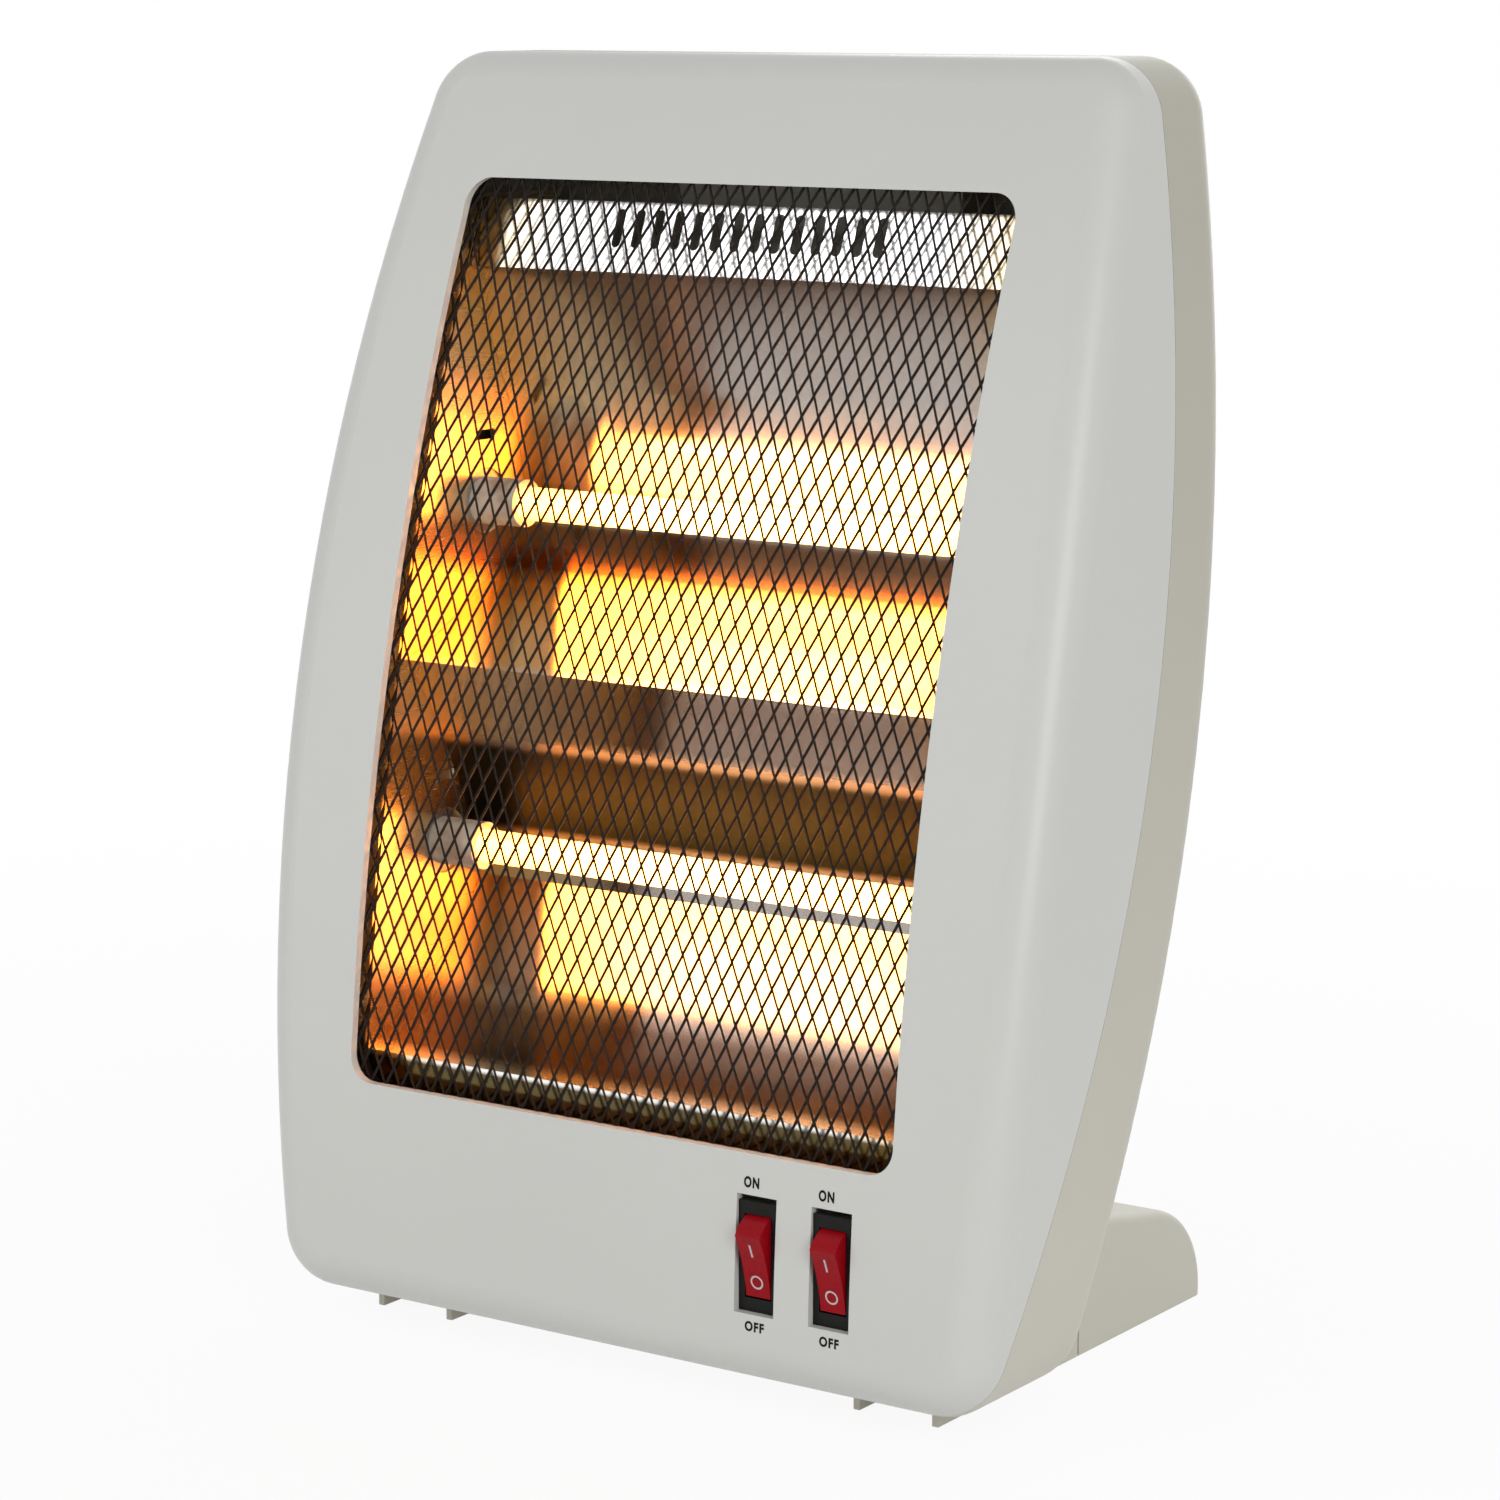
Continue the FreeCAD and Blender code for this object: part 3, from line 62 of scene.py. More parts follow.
class Wire:
    """An output of a shader tree. Sums and products of wires add the nodes for them."""

    def __init__(self, tree, socket=None):
        self.tree = tree
        self.socket = socket

    def node(self, kind, settings, sockets, output=0):
        """Adds a node of a kind, with its settings first and then its values and links."""
        made = self.tree.nodes.new("ShaderNode" + kind)
        for name, setting in settings.items():
            if name == "stops":
                ramp = made.color_ramp.elements
                ramp[0].position, ramp[-1].position = setting[0][0], setting[-1][0]
                for position, colour in setting[1:-1]:
                    ramp.new(position)
                for stop, (position, colour) in zip(ramp, setting):
                    stop.color = (*colour, 1)
            else:
                setattr(made, name, setting)
        for name, given in sockets.items():
            if isinstance(given, Wire):
                self.tree.links.new(given.socket, made.inputs[name])
            else:
                made.inputs[name].default_value = given
        return Wire(self.tree, made.outputs[output])

    def math(self, operation, *others, clamp=False):
        given = dict(enumerate((self, *others)))
        return self.node("Math", {"operation": operation, "use_clamp": clamp}, given)

    def __add__(self, other):
        return self.math("ADD", other)

    def __radd__(self, other):
        return self.math("ADD", other)

    def __sub__(self, other):
        return self.math("SUBTRACT", other)

    def __rsub__(self, other):
        return self.math("MULTIPLY", -1) + other

    def __mul__(self, other):
        return self.math("MULTIPLY", other)

    def __rmul__(self, other):
        return self.math("MULTIPLY", other)

    def along(self, axis):
        """How far this place lies along an axis."""
        return self.node("SeparateXYZ", {}, {"Vector": self}, axis)

    def band(self, low, high):
        """0 below one value, 1 above another, and an even rise between them."""
        return ((self - low) * (1 / (high - low))).math("ADD", 0, clamp=True)

    def between(self, first, second):
        """The colour between two colours, with this wire as the share of the second."""
        colours = {"Factor": self, 6: first, 7: second}
        return self.node("Mix", {"data_type": "RGBA"}, colours, 2)

    def tinted(self, tint, share):
        """This colour times a tint, as far as the share says."""
        colours = {"Factor": share, 6: self, 7: tint}
        return self.node("Mix", {"data_type": "RGBA", "blend_type": "MULTIPLY"}, colours, 2)

    def drive(self, socket):
        self.tree.links.new(self.socket, socket)


def new_finish(name, even):
    """A material with the values that are the same all over it, its shader and the place on it."""
    finish = bpy.data.materials.new(name)
    finish.use_nodes = True
    tree = finish.node_tree
    shader = tree.nodes["Principled BSDF"]
    for socket, value in even.items():
        shader.inputs[socket].default_value = value
    return finish, shader, Wire(tree).node("TexCoord", {}, {}, "Object")


def speckle(place, scale, detail=2.0, stretch=(1, 1, 1)):
    """Even noise of so many cells to the metre, longer along an axis with a low stretch."""
    spread = place.node("Mapping", {}, {"Vector": place, "Scale": stretch})
    return place.node("TexNoise", {}, {"Vector": spread, "Scale": scale, "Detail": detail})


def relief(height, depth, strength):
    """Small bumps of a depth in metres."""
    bumps = {"Height": height, "Distance": depth, "Strength": strength}
    return height.node("Bump", {}, bumps, "Normal")


def tone(colour, by):
    return (*[min(1.0, share * by) for share in colour], 1)


def moulded_plastic(name, colour, roughness, grain=1500, depth=0.00004, specular=0.5,
                    shade_at_top=(1, 1, 1)):
    """Plastic with faint flow clouds, a fine grain, uneven gloss and a painted shade towards its
    top.
    """
    finish, shader, place = new_finish(name, {"Specular IOR Level": specular})
    clouds = speckle(place, 9)
    fine = speckle(place, grain, 1.0)
    # Painted shade: the colour is multiplied by a darker tint towards the top
    top_shade_share = place.along("Z").band(*painted_shade_heights)
    new_colour = clouds.between(tone(colour, 0.965), tone(colour, 1.03))
    new_colour.tinted((*shade_at_top, 1), top_shade_share).drive(shader.inputs["Base Color"])
    (roughness - 0.05 + 0.06 * clouds + 0.05 * fine).drive(shader.inputs["Roughness"])
    relief(fine, depth, 0.35).drive(shader.inputs["Normal"])
    return finish


def dress(finish, *names):
    for name in names:
        for slot in frame["nodes"][name].material_slots:
            slot.material = finish


panel_skin = moulded_plastic("moulded_light_grey", housing_grey, 0.35, shade_at_top=housing_painted_shade)
dress(panel_skin, "front_panel")


# Rear cover: the other half of the housing, in the same plastic but a little warmer and duller.
# It is closed against the front panel along the curved seam and holds louvres and a grip. Painted
# shade darkens it towards the top.

cover_beige = (0.565, 0.543, 0.462)
# Tint of the painted shade at the top of the rear cover
cover_painted_shade = (0.78, 0.785, 0.76)
cover_skin = moulded_plastic("moulded_warm_grey", cover_beige, 0.44, shade_at_top=cover_painted_shade)
dress(cover_skin, "rear_cover")


# Feet: two downward channels moulded in the cover's plastic, with a coarser grain. They follow the
# underside and the back of the housing and are screwed up against it.

foot_beige = (0.571, 0.555, 0.470)
foot_skin = moulded_plastic("moulded_foot_grey", foot_beige, 0.5, grain=1100)
dress(foot_skin, "left_foot", "right_foot")


# Guard: one thin sheet of steel, slit and stretched into small diamonds, then pressed into a
# shallow tray that follows the bowed front, and painted black. Only its edge stays closed.

front_radius = 0.9
# Where the front of the housing ends at its underside
front_toe_y = -0.085183
front_toe_z = 0.0196
front_centre = front_toe_y + math.sqrt(front_radius ** 2 - front_toe_z ** 2)
guard_gauge = 0.0008
strand_gauge = 0.00045
guard_cover = 0.0027
guard_middle_z = 0.20595
guard_flat_half_x = 0.0960
guard_flat_half_z = 0.13305
guard_corner = 0.0075
guard_bend = 0.0021
# How far past the flat the sheet reaches, and how far its diamonds stay open
guard_rim = 0.0096
guard_open = 0.0078
guard_reach = 0.0115
hole_pitch_x = 0.0056
hole_pitch_z = 0.0115
hole_share_x = 0.875
hole_share_z = 0.875
strand_twist = 0.00022
same_place = 0.00001
# The quads beside a diamond: columns to the right of it, rows above it, and the corner there
strands_and_bond = (
    ((0, 0, "right"), (1, 1, "bottom"), (1, 1, "left"), (0, 0, "top")),
    ((0, 0, "left"), (0, 0, "top"), (-1, 1, "right"), (-1, 1, "bottom")),
    ((0, 0, "right"), (1, -1, "top"), (2, 0, "left"), (1, 1, "bottom")),
)
closed_diamond = ((0, 0, "right"), (0, 0, "top"), (0, 0, "left"), (0, 0, "bottom"))


def front_surface(z, inset=0.0):
    """The place of the housing's front at a height, moved inwards."""
    return front_centre - math.sqrt((front_radius - inset) ** 2 - z ** 2)


def past_flat(x, up):
    """How far a point of the sheet is past the tray's flat, and the direction outwards."""
    across = abs(x) - (guard_flat_half_x - guard_corner)
    along = abs(up) - (guard_flat_half_z - guard_corner)
    if across > 0 and along > 0:
        length = math.hypot(across, along)
        way = (math.copysign(across / length, x), math.copysign(along / length, up))
        return length - guard_corner, way
    if across > along:
        return across - guard_corner, (math.copysign(1, x), 0)
    return along - guard_corner, (0, math.copysign(1, up))


def tray_point(x, up, lift):
    """Where a point of the flat sheet lies once the tray is pressed."""
    real_past, way = past_flat(x, up)
    past = min(real_past, guard_rim)
    back = 0
    if past > 0:
        turn = min(past / guard_bend, math.pi / 2)
        straight = max(0, past - guard_bend * math.pi / 2)
        x += way[0] * (guard_bend * math.sin(turn) - real_past)
        up += way[1] * (guard_bend * math.sin(turn) - real_past)
        back = guard_bend * (1 - math.cos(turn)) + straight
    z = guard_middle_z + up
    y = front_surface(z, guard_cover + guard_gauge / 2) + back + lift
    return Vector((x, min(y, front_surface(z) + guard_reach), z))


def expanded_sheet():
    """The stretched sheet as quads: two strands and a bond to each diamond."""
    mesh = bmesh.new()
    made = {}
    half_x, half_z = hole_pitch_x / 2, hole_pitch_z / 2
    reach = {"right": (half_x * hole_share_x, 0, 0), "left": (-half_x * hole_share_x, 0, 0),
             "top": (0, half_z * hole_share_z, strand_twist),
             "bottom": (0, -half_z * hole_share_z, -strand_twist)}

    def flat_place(column, row, word):
        x, up, lift = reach[word]
        return column * half_x + x, row * half_z + up, lift

    def quad(column, row, corners):
        """Adds one face beside a diamond, unless all its corners are past the rim."""
        keys = [(column + right, row + up, word) for right, up, word in corners]
        if all(past_flat(*flat_place(*key)[:2])[0] > guard_rim for key in keys):
            return
        for key in keys:
            if key not in made:
                made[key] = mesh.verts.new(tray_point(*flat_place(*key)))
        mesh.faces.new([made[key] for key in keys])

    columns = int((guard_flat_half_x + guard_rim) / half_x) + 2
    rows = int((guard_flat_half_z + guard_rim) / half_z) + 2
    for row in range(-rows, rows + 1):
        for column in range(-columns, columns + 1):
            if (row + column) % 2:
                continue
            for corners in strands_and_bond:
                quad(column, row, corners)
            if past_flat(column * half_x, row * half_z)[0] >= guard_open:
                quad(column, row, closed_diamond)
    bmesh.ops.remove_doubles(mesh, verts=mesh.verts, dist=same_place)
    bmesh.ops.dissolve_degenerate(mesh, edges=mesh.edges, dist=same_place)
    bmesh.ops.recalc_face_normals(mesh, faces=mesh.faces)
    return mesh


def put_in_scene(name, data):
    """A new object with this mesh, curve, lamp or camera."""
    piece = bpy.data.objects.new(name, data)
    scene.collection.objects.link(piece)
    return piece


def new_piece(name, built):
    """A new object with the mesh of a bmesh."""
    data = bpy.data.meshes.new(name)
    built.to_mesh(data)
    built.free()
    return put_in_scene(name, data)


def uneven_coat(shader, share, first, second, roughness, spread):
    """Lets the colour and the gloss change together over the surface."""
    share.between((*first, 1), (*second, 1)).drive(shader.inputs["Base Color"])
    (roughness + spread * share).drive(shader.inputs["Roughness"])


guard = new_piece("guard_expanded_metal", expanded_sheet())
gauge = guard.modifiers.new("gauge", "SOLIDIFY")
gauge.thickness = strand_gauge
gauge.offset = 0
black_paint, paint_shader, place = new_finish("black_baked_paint", {"Specular IOR Level": 0.15})
soot = speckle(place, 60)
drips = speckle(place, 900, 1.0)
uneven_coat(paint_shader, soot, (0.006, 0.0045, 0.004), (0.016, 0.009, 0.006), 0.45, 0.2)
relief(drips, 0.00005, 0.5).drive(paint_shader.inputs["Normal"])
guard.data.materials.append(black_paint)
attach(guard, "housing")
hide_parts("guard_mesh")
dress(black_paint, "guard_mesh")


# Reflector: one polished aluminium sheet bent into a slotted strip and two troughs. Rolling left
# fine lines along its width. The heat of the tubes has tarnished the troughs in bands of straw and
# brown, and one band is nearly black and duller. Two thin white lines up the sheet are painted
# reflections. The strip above them is still bright.

sheet_low = 0.070
sheet_high = 0.332
lengthwise = (3, 900, 900)
# How far from the middle the painted orange reflection of the cooler glow begins, and where it is
# full
glow_reflection_starts = 0.066
glow_reflection_full = 0.096
glow_reflection_tint = (1.0, 0.70, 0.26)
glow_reflection_strength = 0.9
smudge_tint = (0.86, 0.80, 0.74)
smudge_share = 0.5
dulled_by = 0.35
# Heights in metres up the reflector, and the colour there: heat tarnish, a nearly black band, and
# thin white lines near 0.081 m and 0.195 m that are painted reflections
tarnish_and_painted_light_bands = (
    (0.0792, (0.13, 0.10, 0.045)),
    (0.0800, (0.95, 0.93, 0.88)),
    (0.0818, (0.95, 0.93, 0.88)),
    (0.0826, (0.14, 0.095, 0.072)),
    (0.093, (0.16, 0.105, 0.08)),
    (0.101, (0.70, 0.64, 0.58)),
    (0.138, (0.72, 0.67, 0.62)),
    (0.142, (0.011, 0.013, 0.008)),
    (0.168, (0.014, 0.015, 0.010)),
    (0.174, (0.97, 0.93, 0.89)),
    (0.1943, (0.97, 0.93, 0.89)),
    (0.1948, (0.97, 0.97, 0.97)),
    (0.1962, (0.97, 0.97, 0.97)),
    (0.1967, (0.97, 0.82, 0.50)),
    (0.204, (0.97, 0.82, 0.50)),
    (0.208, (0.90, 0.72, 0.36)),
    (0.215, (0.90, 0.70, 0.36)),
    (0.2195, (0.17, 0.085, 0.042)),
    (0.2305, (0.17, 0.085, 0.042)),
    (0.2345, (0.76, 0.72, 0.68)),
    (0.3102, (0.82, 0.76, 0.70)),
    (0.3114, (0.97, 0.97, 0.98)),
)
# Heights where the nearly black band is duller as well
dulled_bands = (
    (0.138, (0, 0, 0)),
    (0.142, (1, 1, 1)),
    (0.168, (1, 1, 1)),
    (0.174, (0, 0, 0)),
)


def up_the_sheet(place, bands):
    """A colour that changes with height on the sheet."""
    height = place.along("Z").band(sheet_low, sheet_high)
    stops = [((z - sheet_low) / (sheet_high - sheet_low), colour) for z, colour in bands]
    return place.node("ValToRGB", {"stops": stops}, {"Fac": height})


def towards_the_sides(place, near, far):
    """0 up to one distance from the middle of the width, 1 past another, an even rise between."""
    return place.along("X").math("ABSOLUTE").band(near, far)


def rolled_metal(name, roughness, lines):
    """Bare metal with rolling lines: its finish, shader and place, its smudges and its gloss."""
    finish, shader, place = new_finish(name, {"Metallic": 1.0})
    rolling = speckle(place, 1.0, 2.0, lines)
    relief(rolling, 0.00002, 0.10).drive(shader.inputs["Normal"])
    smudges = speckle(place, 16, 3.0, (0.5, 1, 1)).band(0.45, 0.80)
    gloss = roughness + 0.04 * rolling + 0.06 * smudges
    return finish, shader, place, smudges, gloss


mirror_sheet, mirror_shader, place, smudges, gloss = rolled_metal(
    "polished_aluminium", 0.10, lengthwise)
# Tarnish up the sheet, with thin painted reflection lines in it
banded = up_the_sheet(place, tarnish_and_painted_light_bands).tinted((*smudge_tint, 1), smudge_share * smudges)
# Painted orange reflection of the cooler glow towards the ends of the sheet
glow_reflection_share = towards_the_sides(place, glow_reflection_starts, glow_reflection_full)
coloured = banded.tinted((*glow_reflection_tint, 1), glow_reflection_strength * glow_reflection_share)
coloured.drive(mirror_shader.inputs["Base Color"])
dull = up_the_sheet(place, dulled_bands)
(gloss + dulled_by * dull).drive(mirror_shader.inputs["Roughness"])
dress(mirror_sheet, "reflector")


# End plates: stamped from the same sheet, with tube holes, locating slots and a screwed flange.
# The heat shield behind the troughs and the straps that carry the tubes are plain rolled steel.

plate_straw = (0.77, 0.63, 0.40)
plate_brown = (0.64, 0.44, 0.26)
upright = (700, 4, 700)
steel_grey = (0.52, 0.52, 0.50)
steel_stain = (0.40, 0.37, 0.33)


def tarnished_sheet(name, colour, tarnish, roughness, lines):
    """Rolled metal with patches of heat tarnish."""
    finish, shader, place, smudges, gloss = rolled_metal(name, roughness, lines)
    smudges.between((*colour, 1), (*tarnish, 1)).drive(shader.inputs["Base Color"])
    gloss.drive(shader.inputs["Roughness"])
    return finish


plate_sheet = tarnished_sheet("stamped_aluminium", plate_straw, plate_brown, 0.24, upright)
dress(plate_sheet, "end_plate_left", "end_plate_right")
shield_sheet = tarnished_sheet("rolled_steel", steel_grey, steel_stain, 0.34, lengthwise)
dress(shield_sheet, "heat_shield", "tube_holder_left", "tube_holder_right")


# Quartz tubes: drawn fused silica, slightly milky, glowing with the light of the coil inside. The
# wire is hottest in the middle, and the glow turns to orange where its ends lose heat.

silica_ior = 1.458
tube_glow = 4.0
hot_glow = (1.0, 0.42, 0.105)
cool_glow = (1.0, 0.25, 0.015)
# How far from the middle the glow begins to cool, and where it is coolest
glow_turns = 0.020
glow_ends = 0.102

quartz, quartz_shader, place = new_finish(
    "milky_quartz", {"IOR": silica_ior, "Transmission Weight": 1.0, "Emission Strength": tube_glow})
seeds = speckle(place, 300, 2.0, (0.2, 1, 1))
uneven_coat(quartz_shader, seeds, (1.0, 0.88, 0.74), (1.0, 0.94, 0.86), 0.18, 0.12)
relief(seeds, 0.00002, 0.3).drive(quartz_shader.inputs["Normal"])
glow = towards_the_sides(place, glow_turns, glow_ends).between((*hot_glow, 1), (*cool_glow, 1))
glow.drive(quartz_shader.inputs["Emission Color"])
dress(quartz, "quartz_tube_upper", "quartz_tube_lower")


# Heating coils: resistance wire wound close on a rod, stretched along the tube's axis, with a
# straight lead at each end that runs out through the ceramic.

coil_radius = 0.0022
coil_half_length = 0.092
coil_pitch = 0.0013
coil_wire = 0.00034
lead_end = 0.1118
coil_points = 10
wire_glow = 9.0
wire_oxide = (0.25, 0.2, 0.17)

hot_wire, wire_shader, place = new_finish("glowing_resistance_wire", {
    "Base Color": (*wire_oxide, 1), "Roughness": 0.6, "Emission Strength": wire_glow})
flicker = speckle(place, 500, 1.0).between((1.0, 0.35, 0.05, 1), (1.0, 0.42, 0.075, 1))
flicker.drive(wire_shader.inputs["Emission Color"])


def wound_coil(name, middle_y, middle_z):
    """One wire from lead to lead, wound round the axis between them."""
    turns = round(2 * coil_half_length / coil_pitch)
    steps = turns * coil_points
    path = [(-lead_end, 0, 0), (-coil_half_length - coil_pitch, 0, 0)]
    for step in range(steps + 1):
        turn = 2 * math.pi * step / coil_points
        path.append((-coil_half_length + 2 * coil_half_length * step / steps,
                     coil_radius * math.cos(turn), coil_radius * math.sin(turn)))
    path += [(coil_half_length + coil_pitch, 0, 0), (lead_end, 0, 0)]
    curve = bpy.data.curves.new(name, "CURVE")
    curve.dimensions = "3D"
    curve.bevel_depth = coil_wire
    curve.bevel_resolution = 1
    spline = curve.splines.new("POLY")
    spline.points.add(len(path) - 1)
    for point, (x, y, z) in zip(spline.points, path):
        point.co = (x, middle_y + y, middle_z + z, 1)
    curve.materials.append(hot_wire)
    return put_in_scene(name, curve)


for word in ("upper", "lower"):
    low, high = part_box("quartz_tube_" + word)
    coil = wound_coil("wound_coil_" + word, (low.y + high.y) / 2, (low.z + high.z) / 2)
    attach(coil, "housing")
    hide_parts("heating_coil_" + word)
dress(hot_wire, "heating_coil_upper", "heating_coil_lower")


# Ceramic ends: pressed steatite sleeves that hold the tubes in their steel straps, off-white and
# chalky, with scorched patches.

steatite_white = (0.74, 0.70, 0.62)
steatite_scorched = (0.45, 0.36, 0.28)

steatite, steatite_shader, place = new_finish("pressed_steatite", {})
chalk = speckle(place, 700, 3.0)
scorch = speckle(place, 120).band(0.45, 0.7)
worn_white = scorch.between((*steatite_white, 1), (*steatite_scorched, 1))
worn_white.drive(steatite_shader.inputs["Base Color"])
(0.7 + 0.15 * chalk).drive(steatite_shader.inputs["Roughness"])
relief(chalk, 0.0001, 0.5).drive(steatite_shader.inputs["Normal"])
dress(steatite, "ceramic_end_upper_left", "ceramic_end_upper_right", "ceramic_end_lower_left",
      "ceramic_end_lower_right")


# Terminals: brass lugs crimped on the leads of the coils, and the spade tags that stand out at the
# back of the two switches. Both are stamped and only lightly stained.

def plated_metal(name, colour, stained, roughness):
    """Small stamped metal with fine brushing and light staining."""
    finish, shader, place = new_finish(name, {"Metallic": 1.0})
    stains = speckle(place, 220, 3.0).band(0.4, 0.75)
    brushing = speckle(place, 1.0, 1.0, (1800, 1800, 120))
    stains.between((*colour, 1), (*stained, 1)).drive(shader.inputs["Base Color"])
    (roughness + 0.12 * stains + 0.08 * brushing).drive(shader.inputs["Roughness"])
    relief(brushing, 0.00002, 0.3).drive(shader.inputs["Normal"])
    return finish


brass = plated_metal("stamped_brass", (0.80, 0.62, 0.30), (0.55, 0.40, 0.20), 0.30)
dress(brass, "element_terminals", "switch_terminals")


# Steel small parts: the zinc-plated brackets, the cut-out's can, all screws and the hard-drawn
# spring of the tip-over plunger.

zinc = plated_metal("zinc_plated_steel", (0.62, 0.63, 0.62), (0.50, 0.50, 0.46), 0.32)
dress(zinc, "switch_bracket", "tilt_switch_bracket", "thermal_cutout")
screw_steel = plated_metal("bright_screw_steel", (0.66, 0.66, 0.65), (0.44, 0.43, 0.41), 0.26)
dress(screw_steel, "cover_screws", "foot_screws", "reflector_screws", "switch_screws")
spring_steel = plated_metal("hard_drawn_steel", (0.56, 0.56, 0.55), (0.38, 0.36, 0.34), 0.36)
dress(spring_steel, "tilt_spring")


# Switch bodies: black nylon frames with a satin face, snapped in the bracket behind the panel.
# The tip-over switch's case and its plunger are the same nylon.

nylon_black = (0.008, 0.008, 0.007)
black_nylon = moulded_plastic("black_nylon", nylon_black, 0.5, grain=2200, specular=0.15)
dress(black_nylon, "switch_body_1", "switch_body_2", "tilt_switch_body", "tilt_plunger")


# Rockers: deep red polycarbonate, polished, with the off ring and the on bar printed in white.
# The lower half is pressed in, so the upper half stands out of its frame.

red_clear, red_shader, place = new_finish("polished_red_plastic", {"Specular IOR Level": 0.1})
depths = speckle(place, 260)
uneven_coat(red_shader, depths, (0.27, 0.002, 0.006), (0.35, 0.004, 0.011), 0.24, 0.08)
dress(red_clear, "rocker_1", "rocker_2")

white_print, print_shader, place = new_finish("white_pad_print", {})
worn = speckle(place, 1500)
uneven_coat(print_shader, worn, (0.90, 0.86, 0.86), (0.97, 0.95, 0.95), 0.4, 0.1)

rocker_tilt = math.radians(17)
rocker_face = 0.008
rocker_dish = 0.0009
rocker_half = 0.009734
dish_radius = (rocker_half ** 2 + rocker_dish ** 2) / (2 * rocker_dish)
# How proud of its ground a print stands, and how thick it is
ink = 0.00006
ink_gauge = 0.8 * ink
bar_width = 0.00065
bar_height = 0.0042
bar_up = 0.0050
bar_rows = 7
ring_outer = 0.0021
ring_inner = 0.00155
ring_up = -0.0052
ring_parts = 40


def on_rocker(pivot, x, up, lift):
    """A point on the dished face of a tilted rocker."""
    out = rocker_face - rocker_dish + dish_radius - math.sqrt(dish_radius ** 2 - up ** 2) + lift
    return Vector((pivot.x + x,
                   pivot.y - out * math.cos(rocker_tilt) - up * math.sin(rocker_tilt),
                   pivot.z - out * math.sin(rocker_tilt) + up * math.cos(rocker_tilt)))


def printed_marks(pivot):
    """The bar and the ring as thin raised prints."""
    mesh = bmesh.new()

    def strip(edges, is_ring):
        """Quads from each edge on the rocker's face to the next edge."""
        pairs = [[mesh.verts.new(on_rocker(pivot, x, up, ink)) for x, up in edge] for edge in edges]
        following = pairs[1:] + pairs[:1] if is_ring else pairs[1:]
        for (a, b), (c, d) in zip(pairs, following):
            mesh.faces.new((a, b, d, c))

    heights = [bar_up + bar_height * (row / (bar_rows - 1) - 0.5) for row in range(bar_rows)]
    strip([[(-bar_width / 2, up), (bar_width / 2, up)] for up in heights], False)
    turns = [2 * math.pi * part / ring_parts for part in range(ring_parts)]
    strip([[(radius * math.cos(turn), ring_up + radius * math.sin(turn))
            for radius in (ring_inner, ring_outer)] for turn in turns], True)
    bmesh.ops.solidify(mesh, geom=mesh.faces[:], thickness=-ink_gauge)
    bmesh.ops.recalc_face_normals(mesh, faces=mesh.faces)
    return mesh


for joint in frame["joints"]:
    if joint["type"] == "hinge":
        name = joint["child"]
        marks = new_piece(name + "_marks", printed_marks(Vector(joint["pos_m"])))
        marks.data.materials.append(white_print)
        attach(marks, name)


# Lettering: ON and OFF in black pad print above and below each switch slot. The ink is thin and
# matt and lies on the curve of the front.

black_print, lettering_shader, place = new_finish("black_pad_print", {"Specular IOR Level": 0.1})
faint = speckle(place, 1800)
uneven_coat(lettering_shader, faint, (0.005, 0.005, 0.006), (0.012, 0.012, 0.013), 0.6, 0.1)

switch_pitch = 0.0249
# The middle of each word at the first switch, along X and in height, and its width and height
letterings = {"ON": (0.0496, 0.0664, 0.0051, 0.0032), "OFF": (0.0519, 0.0256, 0.0064, 0.0029)}
letter_stoutness = 0.04
letter_spacing = 1.2
letter_depth = 0.01
ink_foot = 0.2 * ink


def pad_print(name, words, x, z, width, height):
    """Words laid on the curved front, so wide and so high."""
    text = bpy.data.curves.new(name, "FONT")
    text.body = words
    text.extrude = letter_depth
    text.offset = letter_stoutness
    text.space_character = letter_spacing
    source = put_in_scene(name + "_source", text)
    bpy.context.view_layer.update()
    depsgraph = bpy.context.evaluated_depsgraph_get()
    data = bpy.data.meshes.new_from_object(source.evaluated_get(depsgraph))
    bpy.data.objects.remove(source)
    low = [min(v.co[axis] for v in data.vertices) for axis in (0, 1)]
    high = [max(v.co[axis] for v in data.vertices) for axis in (0, 1)]
    for vertex in data.vertices:
        across = (vertex.co.x - low[0]) / (high[0] - low[0]) - 0.5
        up = (vertex.co.y - low[1]) / (high[1] - low[1]) - 0.5
        rise = z + up * height
        proud = ink if vertex.co.z > 0 else ink_foot
        vertex.co = (x + across * width, front_surface(rise) - proud, rise)
    data.name = name
    data.materials.clear()
    data.materials.append(black_print)
    return put_in_scene(name, data)


for number in (0, 1):
    for words, (x, z, width, height) in letterings.items():
        print_piece = pad_print("lettering_%s_%d" % (words.lower(), number + 1), words,
                                x + number * switch_pitch, z, width, height)
        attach(print_piece, "housing")


# Terminal block and cable inlet: an off-white block on the cover's floor and a black rubber
# grommet pressed in the rear wall.

block_off_white = (0.70, 0.69, 0.65)
block_white = moulded_plastic("terminal_block_white", block_off_white, 0.5)
dress(block_white, "terminal_block")
rubber_black = (0.018, 0.018, 0.018)
rubber = moulded_plastic("black_rubber", rubber_black, 0.7, grain=900, depth=0.0001)
dress(rubber, "cable_inlet")


# Floor: a wide flat pale floor, as of seamless paper. It turns into the white background away from
# the object, so that no edge of it shows.

floor_radius = 6.0
floor_sides = 96
floor_pale = (0.86, 0.86, 0.86)
floor_near = 0.15
floor_far = 0.9
floor_white_near = 0.92


def seen_rays(tree):
    """1 for the camera's rays and those that a mirror or glass turns, and 0 for other light."""
    camera_ray, glossy_ray, clear_ray = (Wire(tree).node("LightPath", {}, {}, "Is %s Ray" % kind)
                                         for kind in ("Camera", "Glossy", "Transmission"))
    return camera_ray.math("MAXIMUM", glossy_ray).math("MAXIMUM", clear_ray)


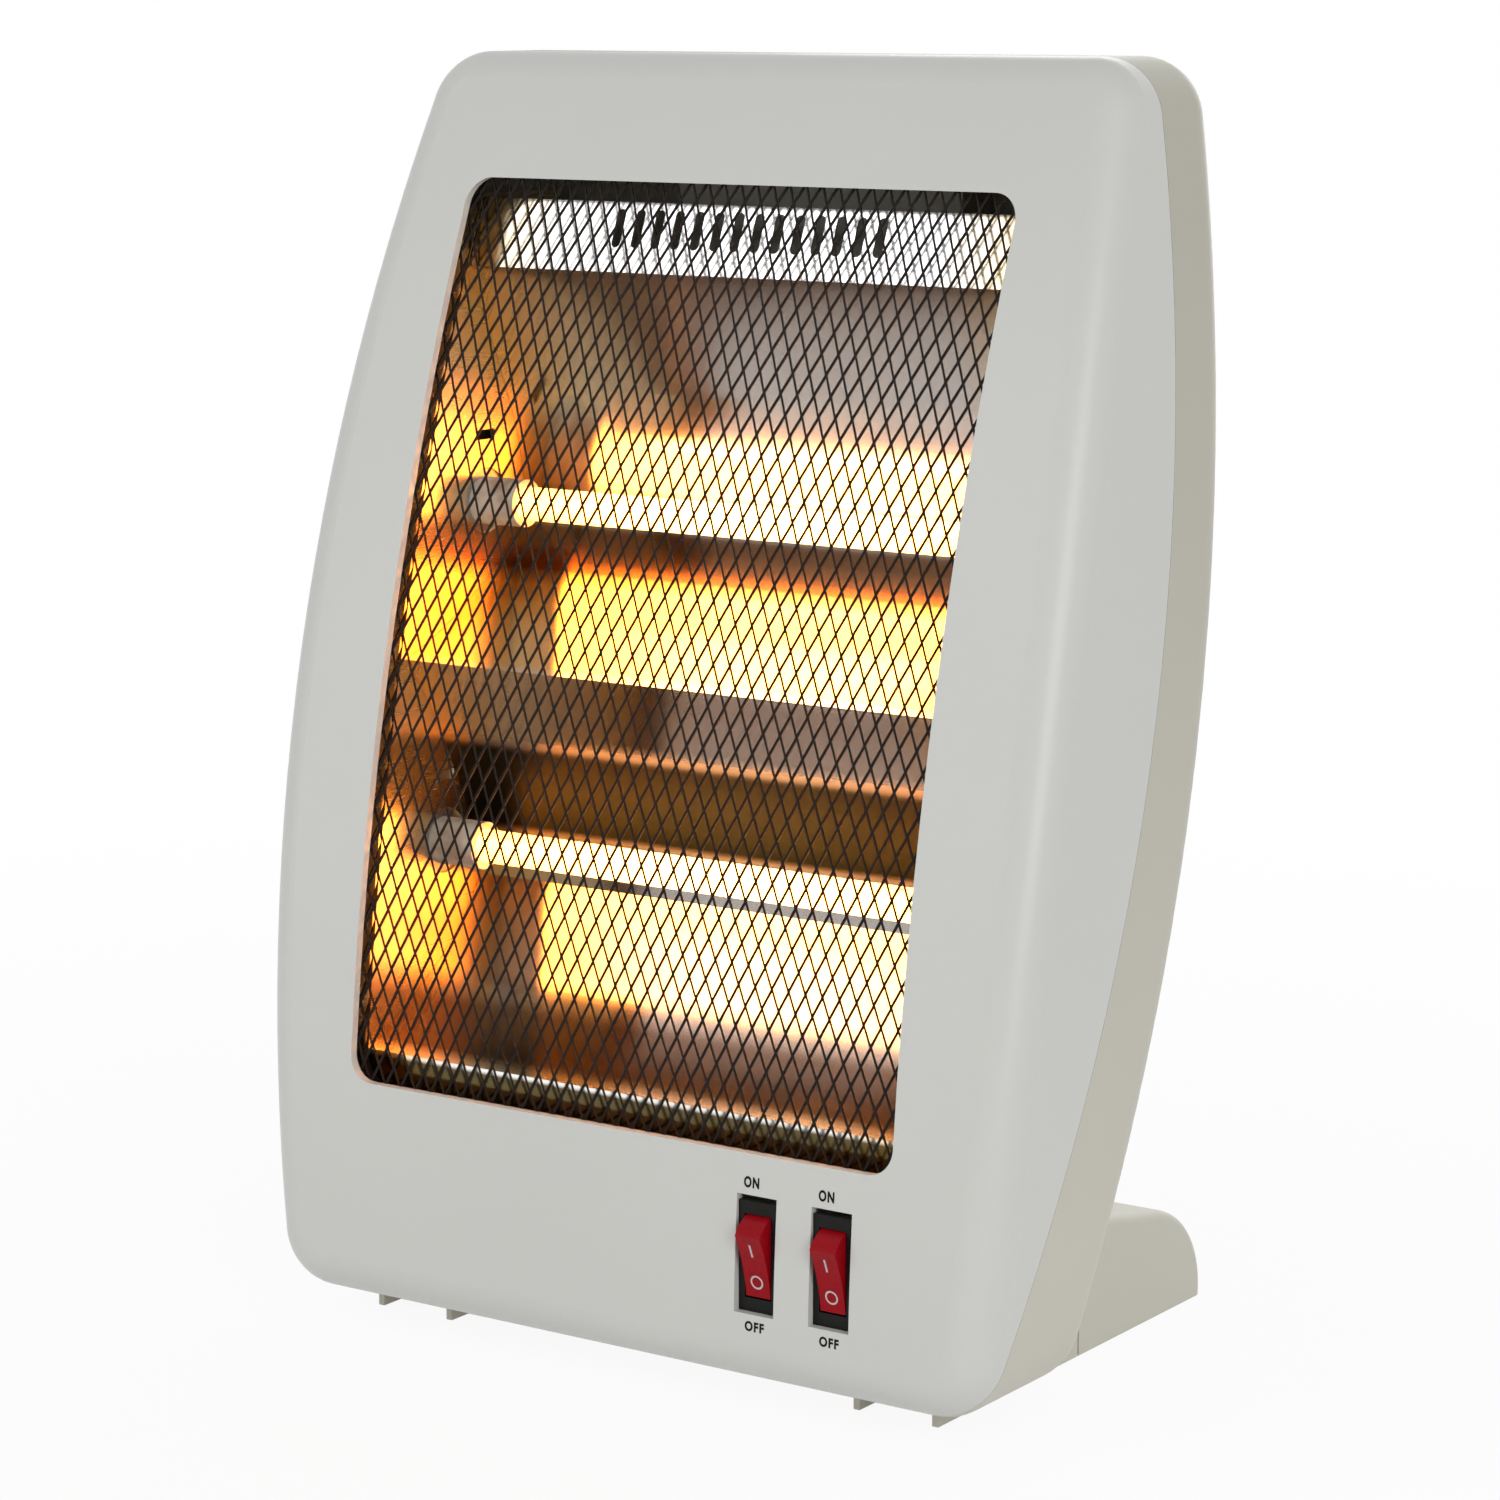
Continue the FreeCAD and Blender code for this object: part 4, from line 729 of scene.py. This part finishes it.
sweep = bmesh.new()
bmesh.ops.create_circle(sweep, cap_ends=True, segments=floor_sides, radius=floor_radius)
floor = new_piece("floor", sweep)
pale, pale_shader, place = new_finish("pale_floor", {
    "Base Color": (*floor_pale, 1), "Roughness": 0.75})
paper = Wire(pale.node_tree, pale_shader.outputs[0])
white = place.node("Emission", {}, {"Color": (1, 1, 1, 1), "Strength": 1.0})
distance = place.node("VectorMath", {"operation": "LENGTH"}, {0: place}, "Value")
far_away = distance.band(floor_near, floor_far)
whiteness = seen_rays(pale.node_tree) * (floor_white_near + (1 - floor_white_near) * far_away)
faded = place.node("MixShader", {}, {0: whiteness, 1: paper, 2: white})
faded.drive(pale.node_tree.nodes["Material Output"].inputs["Surface"])
floor.data.materials.append(pale)


# Studio: a white room with a large softbox at the left front, a tall one at the right front that
# lays a streak of light along the edge of the housing, and one behind.

room_dimmed = (0.56, 0.565, 0.57)

world = bpy.data.worlds.new("white_studio")
scene.world = world
world.use_nodes = True
room = world.node_tree
room_light = seen_rays(room).between((*room_dimmed, 1), (1, 1, 1, 1))
room_light.drive(room.nodes["Background"].inputs["Color"])


def softbox(name, place, aim, size, power):
    """A rectangular lamp that faces a point, with its size in metres and its power in watts."""
    lamp = bpy.data.lights.new(name, "AREA")
    lamp.shape = "RECTANGLE"
    lamp.size, lamp.size_y = size
    lamp.energy = power
    holder = put_in_scene(name, lamp)
    holder.location = place
    holder.rotation_euler = (Vector(aim) - Vector(place)).to_track_quat("-Z", "Y").to_euler()


softbox("key_softbox", (-1.3, -1.8, 0.8), (0, 0, 0.2), (1.3, 1.9), 8.8)
softbox("fill_softbox", (1.8, -1.25, 0.75), (0, 0, 0.2), (0.9, 1.5), 15)
softbox("rear_softbox", (-0.5, 1.9, 0.7), (0, 0, 0.15), (1.4, 1.2), 9)


# Camera: on the photograph's line of sight, from the right front and a little above. Its place and
# its axes were solved from the photograph.

lens = 102.8
film_width = 36
nearest = 0.01
farthest = 100
camera_place = Vector((0.7003, -1.0297, 0.3921))
to_right = Vector((0.82389, 0.56676, 0.0))
to_back = Vector((0.55804, -0.81122, 0.17473))
camera_data = bpy.data.cameras.new("camera")
camera_data.lens = lens
camera_data.sensor_width = film_width
camera_data.clip_start = nearest
camera_data.clip_end = farthest
camera = put_in_scene("camera", camera_data)
turn = Matrix((to_right, to_back.cross(to_right), to_back)).transposed()
camera.matrix_world = Matrix.Translation(camera_place) @ turn.to_4x4()
scene.camera = camera
scene.view_settings.view_transform = "Standard"
